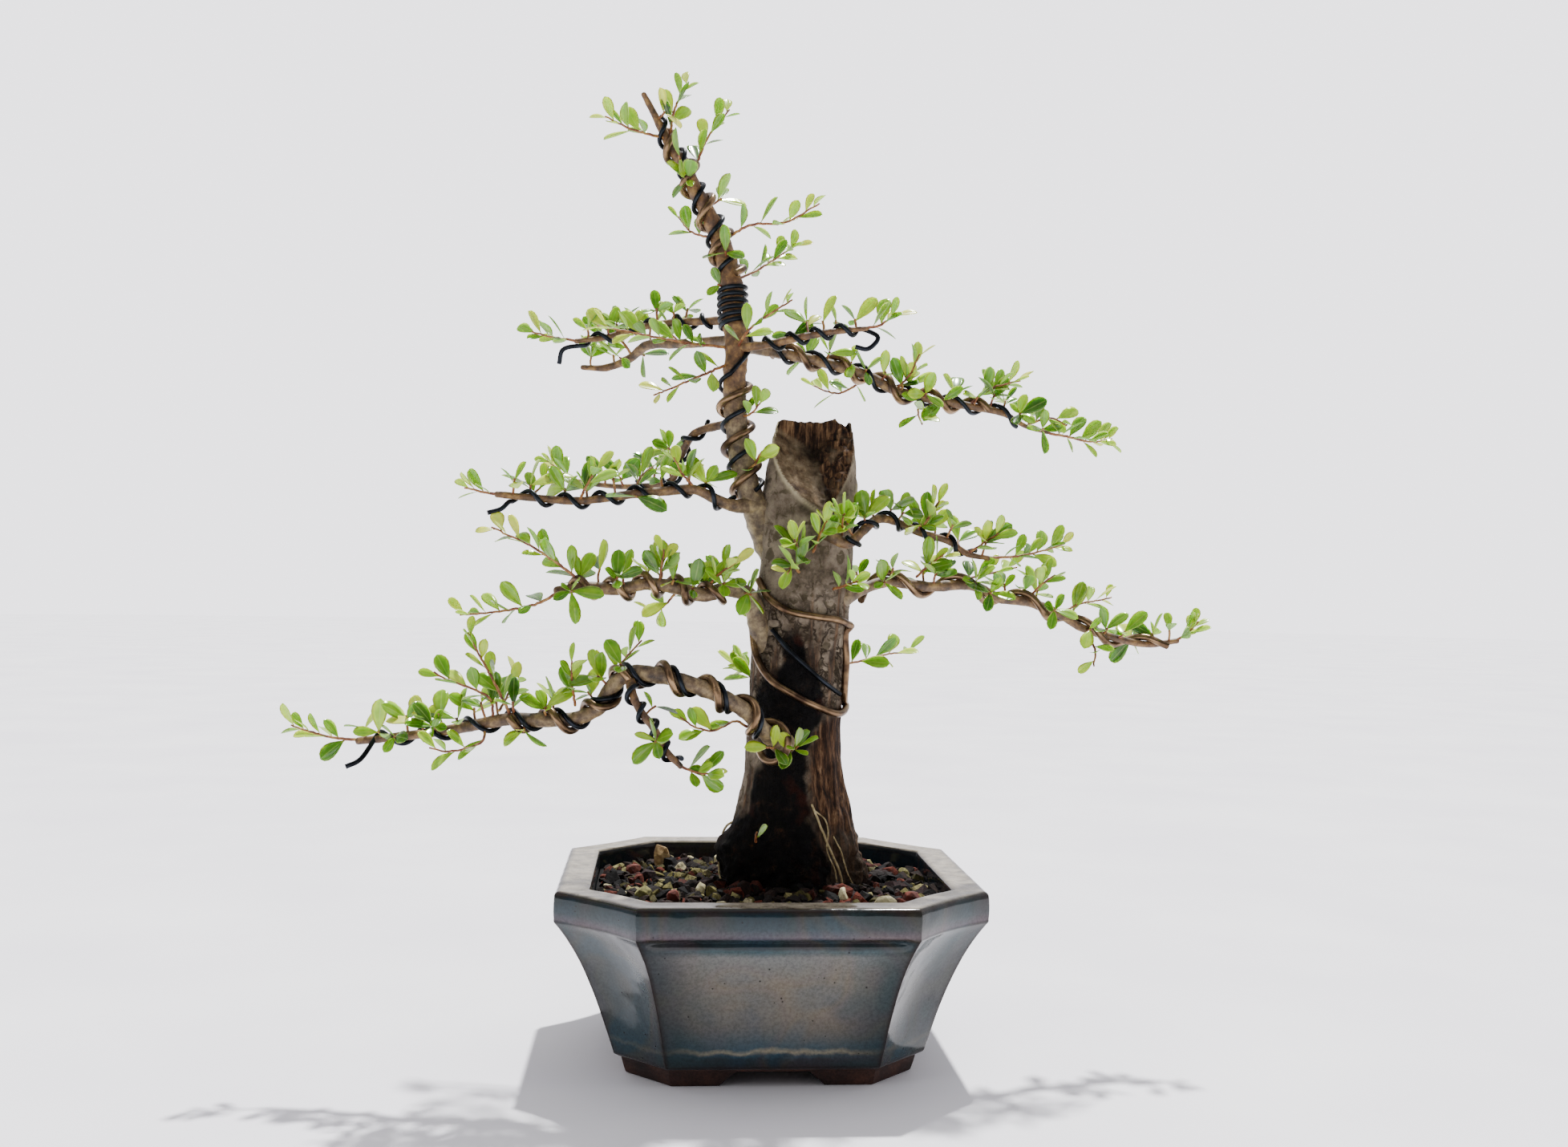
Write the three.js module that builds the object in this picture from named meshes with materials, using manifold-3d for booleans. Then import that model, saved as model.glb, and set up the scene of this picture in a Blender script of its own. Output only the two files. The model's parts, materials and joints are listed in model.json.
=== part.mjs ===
// A bonsai tree in a glazed square pot with chamfered corners, its branches wound with training wire.
// Millimetres, +Z up. The origin is the centre of the pot's foot, on the surface it stands on;
// +X is to the right and +Y to the back when the tree is seen from its front.
import * as THREE from "three";
import { mergeVertices } from "three/addons/utils/BufferGeometryUtils.js";
import { ConvexGeometry } from "three/addons/geometries/ConvexGeometry.js";
import Module from "manifold-3d";

const wasm = await Module();
wasm.setup();

// ---------------------------------------------------------------- driving dimensions

// Pot: an octagon, a square with chamfered corners, that flares from its foot to its rim.
const RIM_WIDTH = 200;
const RIM_DEPTH = 190;
const RIM_CHAMFER = 38;
const RIM_LIP = 16; // the flat top of the rim, outside to inside
const RIM_BAND = 14; // height of the thick band under the rim
const POT_HEIGHT = 86;
const BODY_WIDTH = 144; // at the bottom of the glazed body
const BODY_DEPTH = 142;
const BODY_CHAMFER = 24;
const WALL = 7;
const FLARE_CURL = 0.28; // the share of the flare that comes late, just under the band
const BAND_UNDERCUT = 1.5; // the groove under the band
const RIM_ROUND = 2.5; // of the rim's outer top edge
const FOOT_HEIGHT = 9;
const FOOT_INSET = 3; // the bare clay foot is this far inside the glazed body
const FOOT_TAPER = 2.5;
const FOOT_RING = 14; // width of the ring that the pot stands on
const FOOT_GATE = 46; // width of the gap in each side of the foot
const FOOT_GATE_SLANT = 5;
const FOOT_STEP = 0.8; // the glaze starts this far above the bare foot's outer edge
const RECESS_HEIGHT = 7; // of the hollow inside the foot ring, and of the gates
const RECESS_DRAFT = 3;
const FLOOR = 9;
const DRAIN_DIAMETER = 18;
const DRAIN_OFFSET = 30; // of each drainage hole from the middle, along X

// Drainage mesh: a square of plastic net over each hole.
const MESH_SIDE = 32;
const MESH_THICKNESS = 1.2;
const MESH_HOLE = 7;
const MESH_HOLES_ACROSS = 3;

// Soil.
const HEADSPACE = 9; // from the soil's edge up to the rim
const SOIL_MOUND = 4; // how much higher the soil is at the trunk
const SOIL_RISE = 1; // from the soil's edge up to the level that the tree is drawn from

// Tree.
const TREE_HEIGHT = 401; // from the soil's edge to the highest leaf, the leader's own shoots included
const TRUNK_GIRTH = 1; // factor on the trunk's drawn half-widths
const TRUNK_DEPTH = 0.9; // front-to-back width as a share of the width from the side
const TRUNK_SIDES = 18;
const ROOTS = 5; // lobes of the root flare round the trunk's foot
const ROOT_LOBE = 0.09; // how far a lobe stands out, as a share of the radius
const ROOT_FLARE_HEIGHT = 22; // over which the lobes fade
const TRUNK_RIB = 0.025; // the three faint ribs all the way up, as a share of the radius
const LEAF_LENGTH = 13;
const LEAF_WIDTH = 5.6;
const LEAF_THICKNESS = 0.7;
const STEM_RADIUS = 0.75;

// Training wire.
const BROWN_WIRE = 3.6; // diameter
const BLACK_WIRE = 2.3;

const CLEARANCE = 0.3; // between any two pieces that touch on the real tree
const WIRE_STEPS_PER_TURN = 8;
const BROWN_WIRE_SIDES = 5;
const BLACK_WIRE_SIDES = 4;
const TRUNK_WIRE_STEP = 5; // between the corners of a wire that crosses the trunk
const RING_SPACING = 12; // along a branch
const STOUT_LIMB = 3; // a limb with a bigger radius at its base gets 8 sides, the others 6

// The points below give places in the tree as drawn, with the soil at this level and the highest
// leaf at this height; treePoint moves and scales them with POT_HEIGHT and TREE_HEIGHT.
const DRAWN_SOIL_LEVEL = 78;
const DRAWN_TOP = 479;

// Trunk: [height, middle x, half-width], from the buried roots to the sawn top.
const TRUNK = [
  [46, 15, 30],
  [60, 15, 37],
  [79, 14.5, 35],
  [95, 12.8, 31.6],
  [113, 12.3, 28.5],
  [130, 12.3, 25],
  [147, 12, 23],
  [176, 13, 23],
  [200, 14.7, 23.6],
  [239, 17.2, 22.8],
  [263, 17.7, 23.2],
  [288, 19.2, 21.4],
  [308, 20.7, 18.5],
];

// The trunk's top is hollow: a notch that opens upwards and to the front, bounded by flat cuts.
const NOTCH = [
  [17, 7, 272],
  [22, 5, 272],
  [20, -34, 262],
  [-6, -34, 322],
  [2, 11, 322],
  [42, -34, 322],
  [37, 9, 322],
];

// Leader and branches: points [x, y, z, radius], from the inside of the piece that each grows from.
// A piece comes after the one it grows from.
const LIMBS = {
  leader: [
    [8, 0, 234, 8],
    [-2, -2, 250, 7.2],
    [-9, -4, 265, 6.2],
    [-16, -4, 289, 5.6],
    [-19, -4, 309, 5.6],
    [-20, -4, 327, 5.8],
    [-19, -2, 345, 5.8],
    [-21, 0, 361, 5.5],
    [-22, 2, 378, 5.2],
    [-27, 4, 395, 4.8],
    [-34, 4, 411, 4.2],
    [-41, 4, 423, 3.7],
    [-46, 4, 435, 3.2],
    [-53, 4, 443, 2.7],
    [-58, 4, 453, 2.1],
    [-67, 0, 468, 1.3],
  ],
  upper_left_branch: [
    [-20, 0, 357, 2.4],
    [-26, 10, 359, 2],
    [-38, 20, 360, 2],
    [-51, 25, 360, 1.9],
    [-67, 25, 357, 1.7],
    [-84, 22, 351, 1.5],
    [-99, 19, 348, 1.3],
  ],
  upper_left_rear_branch: [
    [-19, 0, 347, 3],
    [-26, 11, 349, 2.6],
    [-46, 30, 350, 2.5],
    [-64, 45, 351, 2.5],
    [-74, 56, 345, 2.3],
    [-86, 61, 341, 1.8],
    [-98, 62, 341, 1.3],
  ],
  upper_right_front_branch: [
    [-19, -1, 344, 2.4],
    [-12, -11, 343, 2],
    [-3, -15, 344, 1.9],
    [11, -18, 347, 1.8],
    [27, -20, 350, 1.6],
    [43, -20, 352, 1.2],
  ],
  upper_right_branch: [
    [-19, 0, 346, 4.6],
    [-10, 10, 346, 4.1],
    [5, 14, 344, 3.7],
    [25, 18, 341, 3.7],
    [50, 22, 335, 3.8],
    [64, 22, 328, 3.7],
    [89, 22, 323, 3.4],
    [104, 24, 321, 3],
    [122, 26, 318, 2.4],
    [134, 28, 312, 1.7],
    [146, 29, 309, 1.4],
  ],
  middle_left_branch: [
    [4, -1, 262, 4.6],
    [-7, -6, 265, 4],
    [-21, -11, 265, 2.9],
    [-39, -16, 272, 2.4],
    [-51, -18, 271, 2.3],
    [-68, -20, 269, 2.1],
    [-94, -22, 265, 1.9],
    [-117, -24, 266, 1.7],
    [-132, -26, 267, 1.5],
  ],
  middle_left_rear_branch: [
    [-19, -3, 306, 2.6],
    [-26, 7, 306, 2.1],
    [-39, 14, 302, 2],
    [-46, 24, 290, 1.9],
    [-50, 35, 280, 1.7],
    [-70, 48, 277, 1.5],
    [-88, 54, 278, 1.3],
    [-101, 58, 280, 1.1],
  ],
  middle_right_branch: [
    [22, -8, 255, 4],
    [27, -21, 251, 3.2],
    [35, -23, 247, 2.8],
    [44, -16, 254, 2.8],
    [52, -8, 260, 2.7],
    [62, -2, 259, 2.4],
    [75, 2, 254, 2.4],
    [90, 4, 250, 2],
    [100, 6, 244, 1.9],
    [111, 7, 242, 1.5],
  ],
  long_right_branch: [
    [22, -4, 214, 5.6],
    [35, -7, 220, 4.8],
    [45, -4, 225, 4],
    [58, 0, 229, 3.7],
    [80, 4, 227, 3.7],
    [103, 8, 228, 3.7],
    [117, 10, 222, 3.7],
    [133, 12, 220, 3.4],
    [150, 14, 214, 3.2],
    [163, 16, 207, 3],
    [181, 18, 202, 2.6],
    [199, 20, 199, 2.4],
    [214, 20, 201, 1.9],
  ],
  left_branch: [
    [4, -6, 184, 7.5],
    [-5, -10, 204, 6.4],
    [-12, -15, 221, 5],
    [-23, -22, 224, 4.3],
    [-33, -26, 221, 3.9],
    [-46, -28, 224, 3.8],
    [-60, -30, 226, 3.5],
    [-75, -32, 223, 3.4],
    [-88, -34, 224, 3],
    [-102, -36, 222, 2.4],
  ],
  low_left_branch: [
    [8, -10, 134, 7.4],
    [2, -28, 142, 6.4],
    [-4, -38, 153, 5.8],
    [-14, -45, 166, 5.3],
    [-29, -50, 175, 4.8],
    [-43, -50, 181, 4.5],
    [-56, -48, 184, 4.4],
    [-68, -44, 184, 4.2],
    [-76, -42, 178, 4.1],
    [-82, -40, 168, 3.9],
    [-92, -40, 163, 3.8],
    [-104, -40, 162, 3.8],
    [-122, -38, 162, 3.4],
    [-134, -36, 160, 3.1],
    [-152, -32, 156, 2.7],
    [-178, -28, 152, 2.3],
    [-194, -26, 150, 2],
  ],
  hanging_twig: [
    [-67, -44, 183, 2.2],
    [-67, -53, 178, 1.9],
    [-63, -58, 169, 1.8],
    [-56, -60, 160, 1.8],
    [-51, -62, 151, 1.7],
    [-44, -64, 144, 1.4],
  ],
};

// Wires on branches. Windings are [share along the branch, turns so far]; phase is in turns.
const BRANCH_WIRES = [
  {
    name: "leader_black_wire",
    limb: "leader",
    diameter: BLACK_WIRE,
    phase: 0.05,
    windings: [[0.17, 0], [0.4, 2.9], [0.5, 3.3], [0.58, 9.3], [0.95, 14.3]],
  },
  {
    name: "leader_brown_lower_wire",
    limb: "leader",
    diameter: BROWN_WIRE,
    phase: 0.6,
    windings: [[0.17, 0], [0.39, 2.77]],
  },
  {
    name: "leader_brown_upper_wire",
    limb: "leader",
    diameter: BROWN_WIRE,
    phase: 0.04,
    windings: [[0.6, 0], [0.93, 4.46]],
  },
  {
    name: "upper_left_wire",
    limb: "upper_left_branch",
    diameter: BLACK_WIRE,
    phase: 0,
    windings: [[0.2, 0], [0.96, 5]],
  },
  {
    name: "upper_right_front_wire",
    limb: "upper_right_front_branch",
    diameter: BLACK_WIRE,
    phase: 0.3,
    windings: [[0.25, 0], [0.95, 4]],
  },
  {
    name: "upper_right_brown_wire",
    limb: "upper_right_branch",
    diameter: BROWN_WIRE,
    phase: 0.2,
    windings: [[0.14, 0], [0.8, 6]],
  },
  {
    name: "upper_right_black_wire",
    limb: "upper_right_branch",
    diameter: BLACK_WIRE,
    phase: 0.7,
    windings: [[0.14, 0], [0.91, 7]],
  },
  {
    name: "middle_left_wire",
    limb: "middle_left_branch",
    diameter: BLACK_WIRE,
    phase: 0.5,
    windings: [[0.18, 0], [0.96, 6.5]],
  },
  {
    name: "middle_left_rear_wire",
    limb: "middle_left_rear_branch",
    diameter: BLACK_WIRE,
    phase: 0.5,
    windings: [[0.16, 0], [0.7, 4]],
  },
  {
    name: "middle_right_wire",
    limb: "middle_right_branch",
    diameter: BLACK_WIRE,
    phase: 0.5,
    windings: [[0.2, 0], [0.94, 5]],
  },
  {
    name: "long_right_wire",
    limb: "long_right_branch",
    diameter: BROWN_WIRE,
    phase: 0.3,
    windings: [[0.12, 0], [0.97, 6]],
  },
  {
    name: "left_wire",
    limb: "left_branch",
    diameter: BROWN_WIRE,
    phase: 0.6,
    windings: [[0.4, 0], [0.96, 5]],
  },
  {
    name: "low_left_brown_wire",
    limb: "low_left_branch",
    diameter: BROWN_WIRE,
    phase: 0.75,
    windings: [[0.1, 0], [0.7, 7]],
  },
  {
    name: "low_left_black_wire",
    limb: "low_left_branch",
    diameter: BLACK_WIRE,
    phase: 0.4,
    windings: [[0.1, 0], [0.96, 10]],
  },
  {
    name: "hanging_wire",
    limb: "hanging_twig",
    diameter: BLACK_WIRE,
    phase: 0.6,
    windings: [[0.2, 0], [0.97, 4]],
  },
];

// Wires that cross the front of the trunk from one branch to the next: points are
// [turn about the trunk, height], where a turn of 0 is to the right and -0.25 to the front.
const TRUNK_WIRES = [
  {
    name: "trunk_upper_brown_wire",
    diameter: BROWN_WIRE,
    path: [[-0.43, 229], [-0.37, 220], [-0.3, 214], [-0.22, 211.5], [-0.14, 210], [-0.07, 207]],
  },
  {
    name: "trunk_lower_brown_wire",
    diameter: BROWN_WIRE,
    path: [
      [-0.44, 206],
      [-0.4, 192],
      [-0.34, 181],
      [-0.27, 174],
      [-0.19, 168],
      [-0.1, 164],
      [0, 167],
      [0.08, 172],
    ],
  },
  {
    name: "trunk_black_wire",
    diameter: BLACK_WIRE,
    path: [[-0.35, 205], [-0.29, 195], [-0.23, 187], [-0.16, 179], [-0.09, 173.5]],
  },
];

// Leafy shoots: the piece each grows from, its stem's points, and its number of leaves.
const SHOOTS = [
  {
    name: "apex_left_shoot",
    from: "leader",
    leaves: 5,
    path: [[-57, 3, 448], [-73, -6, 449], [-85, -14, 452]],
  },
  {
    name: "apex_top_shoot",
    from: "leader",
    leaves: 5,
    path: [[-54, 3, 444], [-52, 4, 462], [-45, 8, 478]],
  },
  {
    name: "apex_right_shoot",
    from: "leader",
    leaves: 5,
    path: [[-43, 4, 429], [-34, 12, 453], [-24, 18, 468]],
  },
  {
    name: "leader_upper_right_shoot",
    from: "leader",
    leaves: 6,
    path: [[-28, 4, 397], [-13, -6, 404], [3, -13, 404], [19, -20, 412]],
  },
  {
    name: "leader_lower_right_shoot",
    from: "leader",
    leaves: 6,
    path: [[-22, 2, 377], [-8, 12, 386], [12, 24, 402]],
  },
  {
    name: "upper_front_left_shoot",
    from: "leader",
    leaves: 9,
    path: [[-21, 0, 344], [-42, -15, 343], [-66, -26, 345], [-86, -34, 347]],
  },
  {
    name: "upper_front_low_shoot",
    from: "leader",
    leaves: 6,
    path: [[-20, -2, 337], [-42, -23, 324], [-59, -34, 315]],
  },
  {
    name: "upper_front_right_shoot",
    from: "leader",
    leaves: 5,
    path: [[-20, -1, 342], [-13, -26, 350], [5, -40, 361]],
  },
  {
    name: "upper_left_tip_shoot",
    from: "upper_left_branch",
    leaves: 6,
    path: [[-98, 19, 348], [-110, 16, 349], [-121, 13, 351]],
  },
  {
    name: "upper_left_rear_shoot",
    from: "upper_left_rear_branch",
    leaves: 6,
    path: [[-72, 53, 347], [-78, 50, 354], [-92, 52, 357]],
  },
  {
    name: "upper_right_front_tip_shoot",
    from: "upper_right_front_branch",
    leaves: 5,
    path: [[42, -20, 352], [50, -20, 354], [58, -19, 360]],
  },
  {
    name: "upper_right_outer_shoot",
    from: "upper_right_branch",
    leaves: 6,
    path: [[102, 24, 321], [114, 20, 330], [128, 16, 334]],
  },
  {
    name: "upper_right_tip_shoot",
    from: "upper_right_branch",
    leaves: 9,
    path: [[145, 29, 309], [158, 30, 307], [171, 32, 305], [182, 34, 307]],
  },
  {
    name: "middle_left_tip_shoot",
    from: "middle_left_branch",
    leaves: 5,
    path: [[-131, -26, 267], [-139, -27, 268], [-147, -28, 270]],
  },
  {
    name: "middle_left_rear_tip_shoot",
    from: "middle_left_rear_branch",
    leaves: 6,
    path: [[-100, 58, 280], [-108, 60, 284], [-116, 62, 291]],
  },
  {
    name: "middle_right_upright_shoot",
    from: "middle_right_branch",
    leaves: 5,
    path: [[75, 2, 254], [79, -5, 263], [82, -11, 269]],
  },
  {
    name: "middle_right_tip_shoot",
    from: "middle_right_branch",
    leaves: 8,
    path: [[110, 7, 242], [130, 8, 244], [151, 10, 250]],
  },
  {
    name: "long_right_tip_shoot",
    from: "long_right_branch",
    leaves: 6,
    path: [[213, 20, 201], [219, 18, 205], [224, 16, 211]],
  },
  {
    name: "left_upper_shoot",
    from: "left_branch",
    leaves: 7,
    path: [[-88, -34, 224], [-112, -38, 241], [-133, -38, 251]],
  },
  {
    name: "left_tip_shoot",
    from: "left_branch",
    leaves: 6,
    path: [[-101, -36, 222], [-111, -36, 216], [-128, -36, 212], [-147, -36, 210]],
  },
  {
    name: "low_left_upright_shoot",
    from: "low_left_branch",
    leaves: 7,
    path: [[-122, -38, 162], [-130, -46, 180], [-141, -54, 202]],
  },
  {
    name: "low_left_tip_shoot",
    from: "low_left_branch",
    leaves: 6,
    path: [[-193, -26, 150], [-209, -26, 152], [-225, -28, 157]],
  },
  {
    name: "trunk_front_shoot",
    from: "trunk",
    leaves: 6,
    path: [[13, -10, 238], [11, -30, 244], [8, -40, 248]],
  },
];

// A pebble and a chip of bark that lie in the soil's surface: place, half-sizes and colour.
const STONE_SHOWS = 0.6; // how far a stone's middle is above the soil's edge, as a share of its half-height
const STONES = [
  { name: "pale_pebble", at: [52, -52], half: [6, 5, 4], colour: "#cfc6a2" },
  { name: "bark_chip", at: [-52, 52], half: [5, 3.5, 8], colour: "#a08a6a" },
];

// ---------------------------------------------------------------- solids

// A closed three.js geometry as a manifold-3d solid.
function solid(geometry) {
  const bare = new THREE.BufferGeometry();
  bare.setAttribute("position", geometry.getAttribute("position").clone());
  bare.setIndex(geometry.index);
  const merged = mergeVertices(bare, 1e-3);
  return new wasm.Manifold(
    new wasm.Mesh({
      numProp: 3,
      vertProperties: merged.attributes.position.array,
      triVerts: new Uint32Array(merged.index.array),
    }),
  );
}

function geometryOf(manifold) {
  const { vertProperties, triVerts, numProp } = manifold.getMesh();
  const positions = new Float32Array((vertProperties.length / numProp) * 3);
  for (let i = 0; i < positions.length / 3; i++) {
    positions.set(vertProperties.subarray(i * numProp, i * numProp + 3), i * 3);
  }
  const geometry = new THREE.BufferGeometry();
  geometry.setAttribute("position", new THREE.BufferAttribute(positions, 3));
  geometry.setIndex(new THREE.BufferAttribute(triVerts, 1));
  geometry.computeVertexNormals();
  return geometry;
}

// The biggest body of a solid that a cut has parted.
function largest(manifold) {
  return manifold.decompose().reduce((best, body) => (body.volume() > best.volume() ? body : best));
}

function boxesMeet(a, b) {
  const [p, q] = [a.boundingBox(), b.boundingBox()];
  return [0, 1, 2].every((i) => p.min[i] < q.max[i] && q.min[i] < p.max[i]);
}

function meets(a, b) {
  return boxesMeet(a, b) && a.intersect(b).volume() > 1e-4;
}

// What is left of a solid outside the others.
function carve(manifold, others) {
  const near = others.filter((other) => boxesMeet(manifold, other));
  return largest(near.reduce((rest, other) => rest.subtract(other), manifold));
}

// A closed skin over rings of equally many points, which run anticlockwise seen from the last ring.
function loft(rings) {
  const count = rings[0].length;
  const middle = (ring) =>
    ring.reduce((sum, point) => sum.add(point), new THREE.Vector3()).divideScalar(ring.length);
  const points = [...rings.flat(), middle(rings[0]), middle(rings.at(-1))];
  const [bottom, top] = [points.length - 2, points.length - 1];
  const index = [];
  for (let i = 0; i < count; i++) {
    const j = (i + 1) % count;
    for (let ring = 0; ring < rings.length - 1; ring++) {
      const [low, high] = [ring * count, (ring + 1) * count];
      index.push(low + i, low + j, high + j, low + i, high + j, high + i);
    }
    const last = (rings.length - 1) * count;
    index.push(bottom, j, i, top, last + i, last + j);
  }
  const geometry = new THREE.BufferGeometry().setFromPoints(points);
  geometry.setIndex(index);
  return solid(geometry);
}

// A number from 0 to 1 that looks random but is the same on every run.
function jitter(k, seed) {
  const wave = Math.sin(k * 12.9898 + seed * 78.233) * 43758.5453;
  return wave - Math.floor(wave);
}

// The value at x on the straight lines through [x, value] pairs.
function along(pairs, x) {
  const next = pairs.findIndex(([at]) => at >= x);
  if (next === 0) return pairs[0][1];
  if (next < 0) return pairs.at(-1)[1];
  const [[x0, v0], [x1, v1]] = [pairs[next - 1], pairs[next]];
  return v0 + ((v1 - v0) * (x - x0)) / (x1 - x0);
}

// ---------------------------------------------------------------- pot, mesh and soil

const FLOOR_TOP = FOOT_HEIGHT + FLOOR;
const SOIL_EDGE = POT_HEIGHT - HEADSPACE;
const BAND_BOTTOM = POT_HEIGHT - RIM_BAND;

function octagon(halfX, halfY, chamfer, z) {
  const [x, y] = [halfX - chamfer, halfY - chamfer];
  return [
    [halfX, -y],
    [halfX, y],
    [x, halfY],
    [-x, halfY],
    [-halfX, y],
    [-halfX, -y],
    [-x, -halfY],
    [x, -halfY],
  ].map(([px, py]) => new THREE.Vector3(px, py, z));
}

// How far the body has flared, from 0 at its bottom to 1 under the band: slow at first, then quicker.
function flare(z) {
  const rise = (z - FOOT_HEIGHT) / (BAND_BOTTOM - FOOT_HEIGHT);
  return THREE.MathUtils.clamp((1 - FLARE_CURL) * rise + FLARE_CURL * rise ** 4, 0, 1);
}

// The body's octagon at a height, moved inwards by inset.
function bodyRing(z, inset) {
  const mix = (low, high) => THREE.MathUtils.lerp(low, high, flare(z));
  return octagon(
    mix(BODY_WIDTH, RIM_WIDTH) / 2 - inset,
    mix(BODY_DEPTH, RIM_DEPTH) / 2 - inset,
    mix(BODY_CHAMFER, RIM_CHAMFER) - inset * (2 - Math.SQRT2),
    z,
  );
}

const INNER_LEVELS = [0, 0.3, 0.6, 0.85, 1].map((share) => FLOOR_TOP + share * (BAND_BOTTOM - FLOOR_TOP));

// The inside of the pot at a height: the wall's thickness below, the rim's lip above.
function innerInset(z) {
  const lipShare = THREE.MathUtils.smoothstep(z, FLOOR_TOP, BAND_BOTTOM);
  return THREE.MathUtils.lerp(WALL, RIM_LIP, lipShare ** 3);
}

function makePot() {
  const bodyLevels = [0, 0.25, 0.5, 0.7, 0.85, 0.95, 1].map(
    (share) => FOOT_HEIGHT + share * (BAND_BOTTOM - FOOT_HEIGHT),
  );
  const shell = loft([
    bodyRing(0, FOOT_INSET + FOOT_TAPER),
    bodyRing(FOOT_HEIGHT - FOOT_STEP, FOOT_INSET),
    ...bodyLevels.map((z) => bodyRing(z, z === BAND_BOTTOM ? BAND_UNDERCUT : 0)),
    bodyRing(BAND_BOTTOM + 2, 0),
    bodyRing(POT_HEIGHT - RIM_ROUND, 0),
    bodyRing(POT_HEIGHT - 0.3 * RIM_ROUND, 0.3 * RIM_ROUND),
    bodyRing(POT_HEIGHT, RIM_ROUND),
    bodyRing(POT_HEIGHT, RIM_LIP - 1),
    bodyRing(POT_HEIGHT - 1, RIM_LIP),
    ...INNER_LEVELS.toReversed().map((z) => bodyRing(z, innerInset(z))),
  ]);
  const underside = loft([
    bodyRing(-1, FOOT_RING + FOOT_TAPER),
    bodyRing(RECESS_HEIGHT, FOOT_RING + FOOT_TAPER + RECESS_DRAFT),
  ]);
  const holes = [-1, 1].map((side) => {
    const hole = new THREE.CylinderGeometry(DRAIN_DIAMETER / 2, DRAIN_DIAMETER / 2, 2 * FLOOR_TOP, 16);
    hole.rotateX(Math.PI / 2);
    hole.translate(side * DRAIN_OFFSET, 0, 0);
    return solid(hole.translate(0, 0, FLOOR_TOP - FLOOR / 2));
  });
  return carve(shell, [underside, ...holes, ...makeFootGates()]);
}

// The gaps that leave four corner feet: slanted at both ends, one through each pair of sides.
function makeFootGates() {
  const half = FOOT_GATE / 2;
  const outline = new THREE.Shape([
    new THREE.Vector2(-half, -1),
    new THREE.Vector2(half, -1),
    new THREE.Vector2(half - FOOT_GATE_SLANT, RECESS_HEIGHT),
    new THREE.Vector2(-half + FOOT_GATE_SLANT, RECESS_HEIGHT),
  ]);
  const length = RIM_WIDTH;
  return [0, Math.PI / 2].map((turn) => {
    const gate = new THREE.ExtrudeGeometry(outline, { depth: length, bevelEnabled: false });
    gate.translate(0, 0, -length / 2);
    gate.rotateX(Math.PI / 2);
    gate.rotateZ(turn);
    return solid(gate);
  });
}

function makeDrainMesh(x) {
  const middle = FLOOR_TOP + CLEARANCE + MESH_THICKNESS / 2;
  const block = (side, height, cx, cy) =>
    solid(new THREE.BoxGeometry(side, side, height).translate(cx, cy, middle));
  const pitch = MESH_SIDE / MESH_HOLES_ACROSS;
  const centres = Array.from({ length: MESH_HOLES_ACROSS }, (_, i) => (i + 0.5) * pitch - MESH_SIDE / 2);
  const holes = centres.flatMap((dx) =>
    centres.map((dy) => block(MESH_HOLE, 2 * MESH_THICKNESS, x + dx, dy)),
  );
  return carve(block(MESH_SIDE, MESH_THICKNESS, x, 0), holes);
}

// The soil fills the pot up to the headspace and rises a little towards the trunk.
function makeSoil(cuts) {
  const bottom = FLOOR_TOP + CLEARANCE;
  const walls = INNER_LEVELS.slice(1)
    .filter((z) => z < SOIL_EDGE - 2)
    .map((z) => bodyRing(z, innerInset(z) + CLEARANCE));
  const edge = bodyRing(SOIL_EDGE, innerInset(SOIL_EDGE) + CLEARANCE);
  const shrunk = (share, rise) =>
    edge.map((p) => new THREE.Vector3(p.x * share, p.y * share, SOIL_EDGE + rise * SOIL_MOUND));
  const heap = loft([
    bodyRing(bottom, innerInset(bottom) + CLEARANCE + 1),
    ...walls,
    edge,
    shrunk(0.8, 0.35),
    shrunk(0.5, 1),
  ]);
  const pocket = (x) => {
    const side = MESH_SIDE + 2 * CLEARANCE;
    const height = 2 * (MESH_THICKNESS + 2 * CLEARANCE);
    return solid(new THREE.BoxGeometry(side, side, height).translate(x, 0, FLOOR_TOP + CLEARANCE / 2));
  };
  return carve(heap, [pocket(-DRAIN_OFFSET), pocket(DRAIN_OFFSET), ...cuts]);
}

// ---------------------------------------------------------------- trunk and branches

const GROWTH = TREE_HEIGHT / (DRAWN_TOP - DRAWN_SOIL_LEVEL);

function treeHeight(z) {
  return SOIL_EDGE + SOIL_RISE + (z - DRAWN_SOIL_LEVEL) * GROWTH;
}

function treePoint([x, y, z]) {
  return new THREE.Vector3(x * GROWTH, y * GROWTH, treeHeight(z));
}

// The trunk's middle and half-width at a drawn height.
function trunkMiddle(z) {
  return along(TRUNK.map(([height, x]) => [height, x]), z) * GROWTH;
}

function trunkRadius(z, angle) {
  const half = along(TRUNK.map(([height, , halfWidth]) => [height, halfWidth]), z) * TRUNK_GIRTH * GROWTH;
  const fade = Math.exp(-Math.max(z - DRAWN_SOIL_LEVEL, 0) / ROOT_FLARE_HEIGHT);
  const rootLobes = ROOT_LOBE * fade * Math.cos(ROOTS * angle + 0.9);
  const ribs = TRUNK_RIB * Math.cos(3 * angle + 0.6);
  return half * (1 + rootLobes + ribs);
}

// A point on the trunk's bark, or further out by extra.
function trunkPoint(z, angle, extra) {
  const radius = trunkRadius(z, angle) + extra;
  return new THREE.Vector3(
    trunkMiddle(z) + radius * Math.cos(angle),
    radius * TRUNK_DEPTH * Math.sin(angle),
    treeHeight(z),
  );
}

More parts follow.
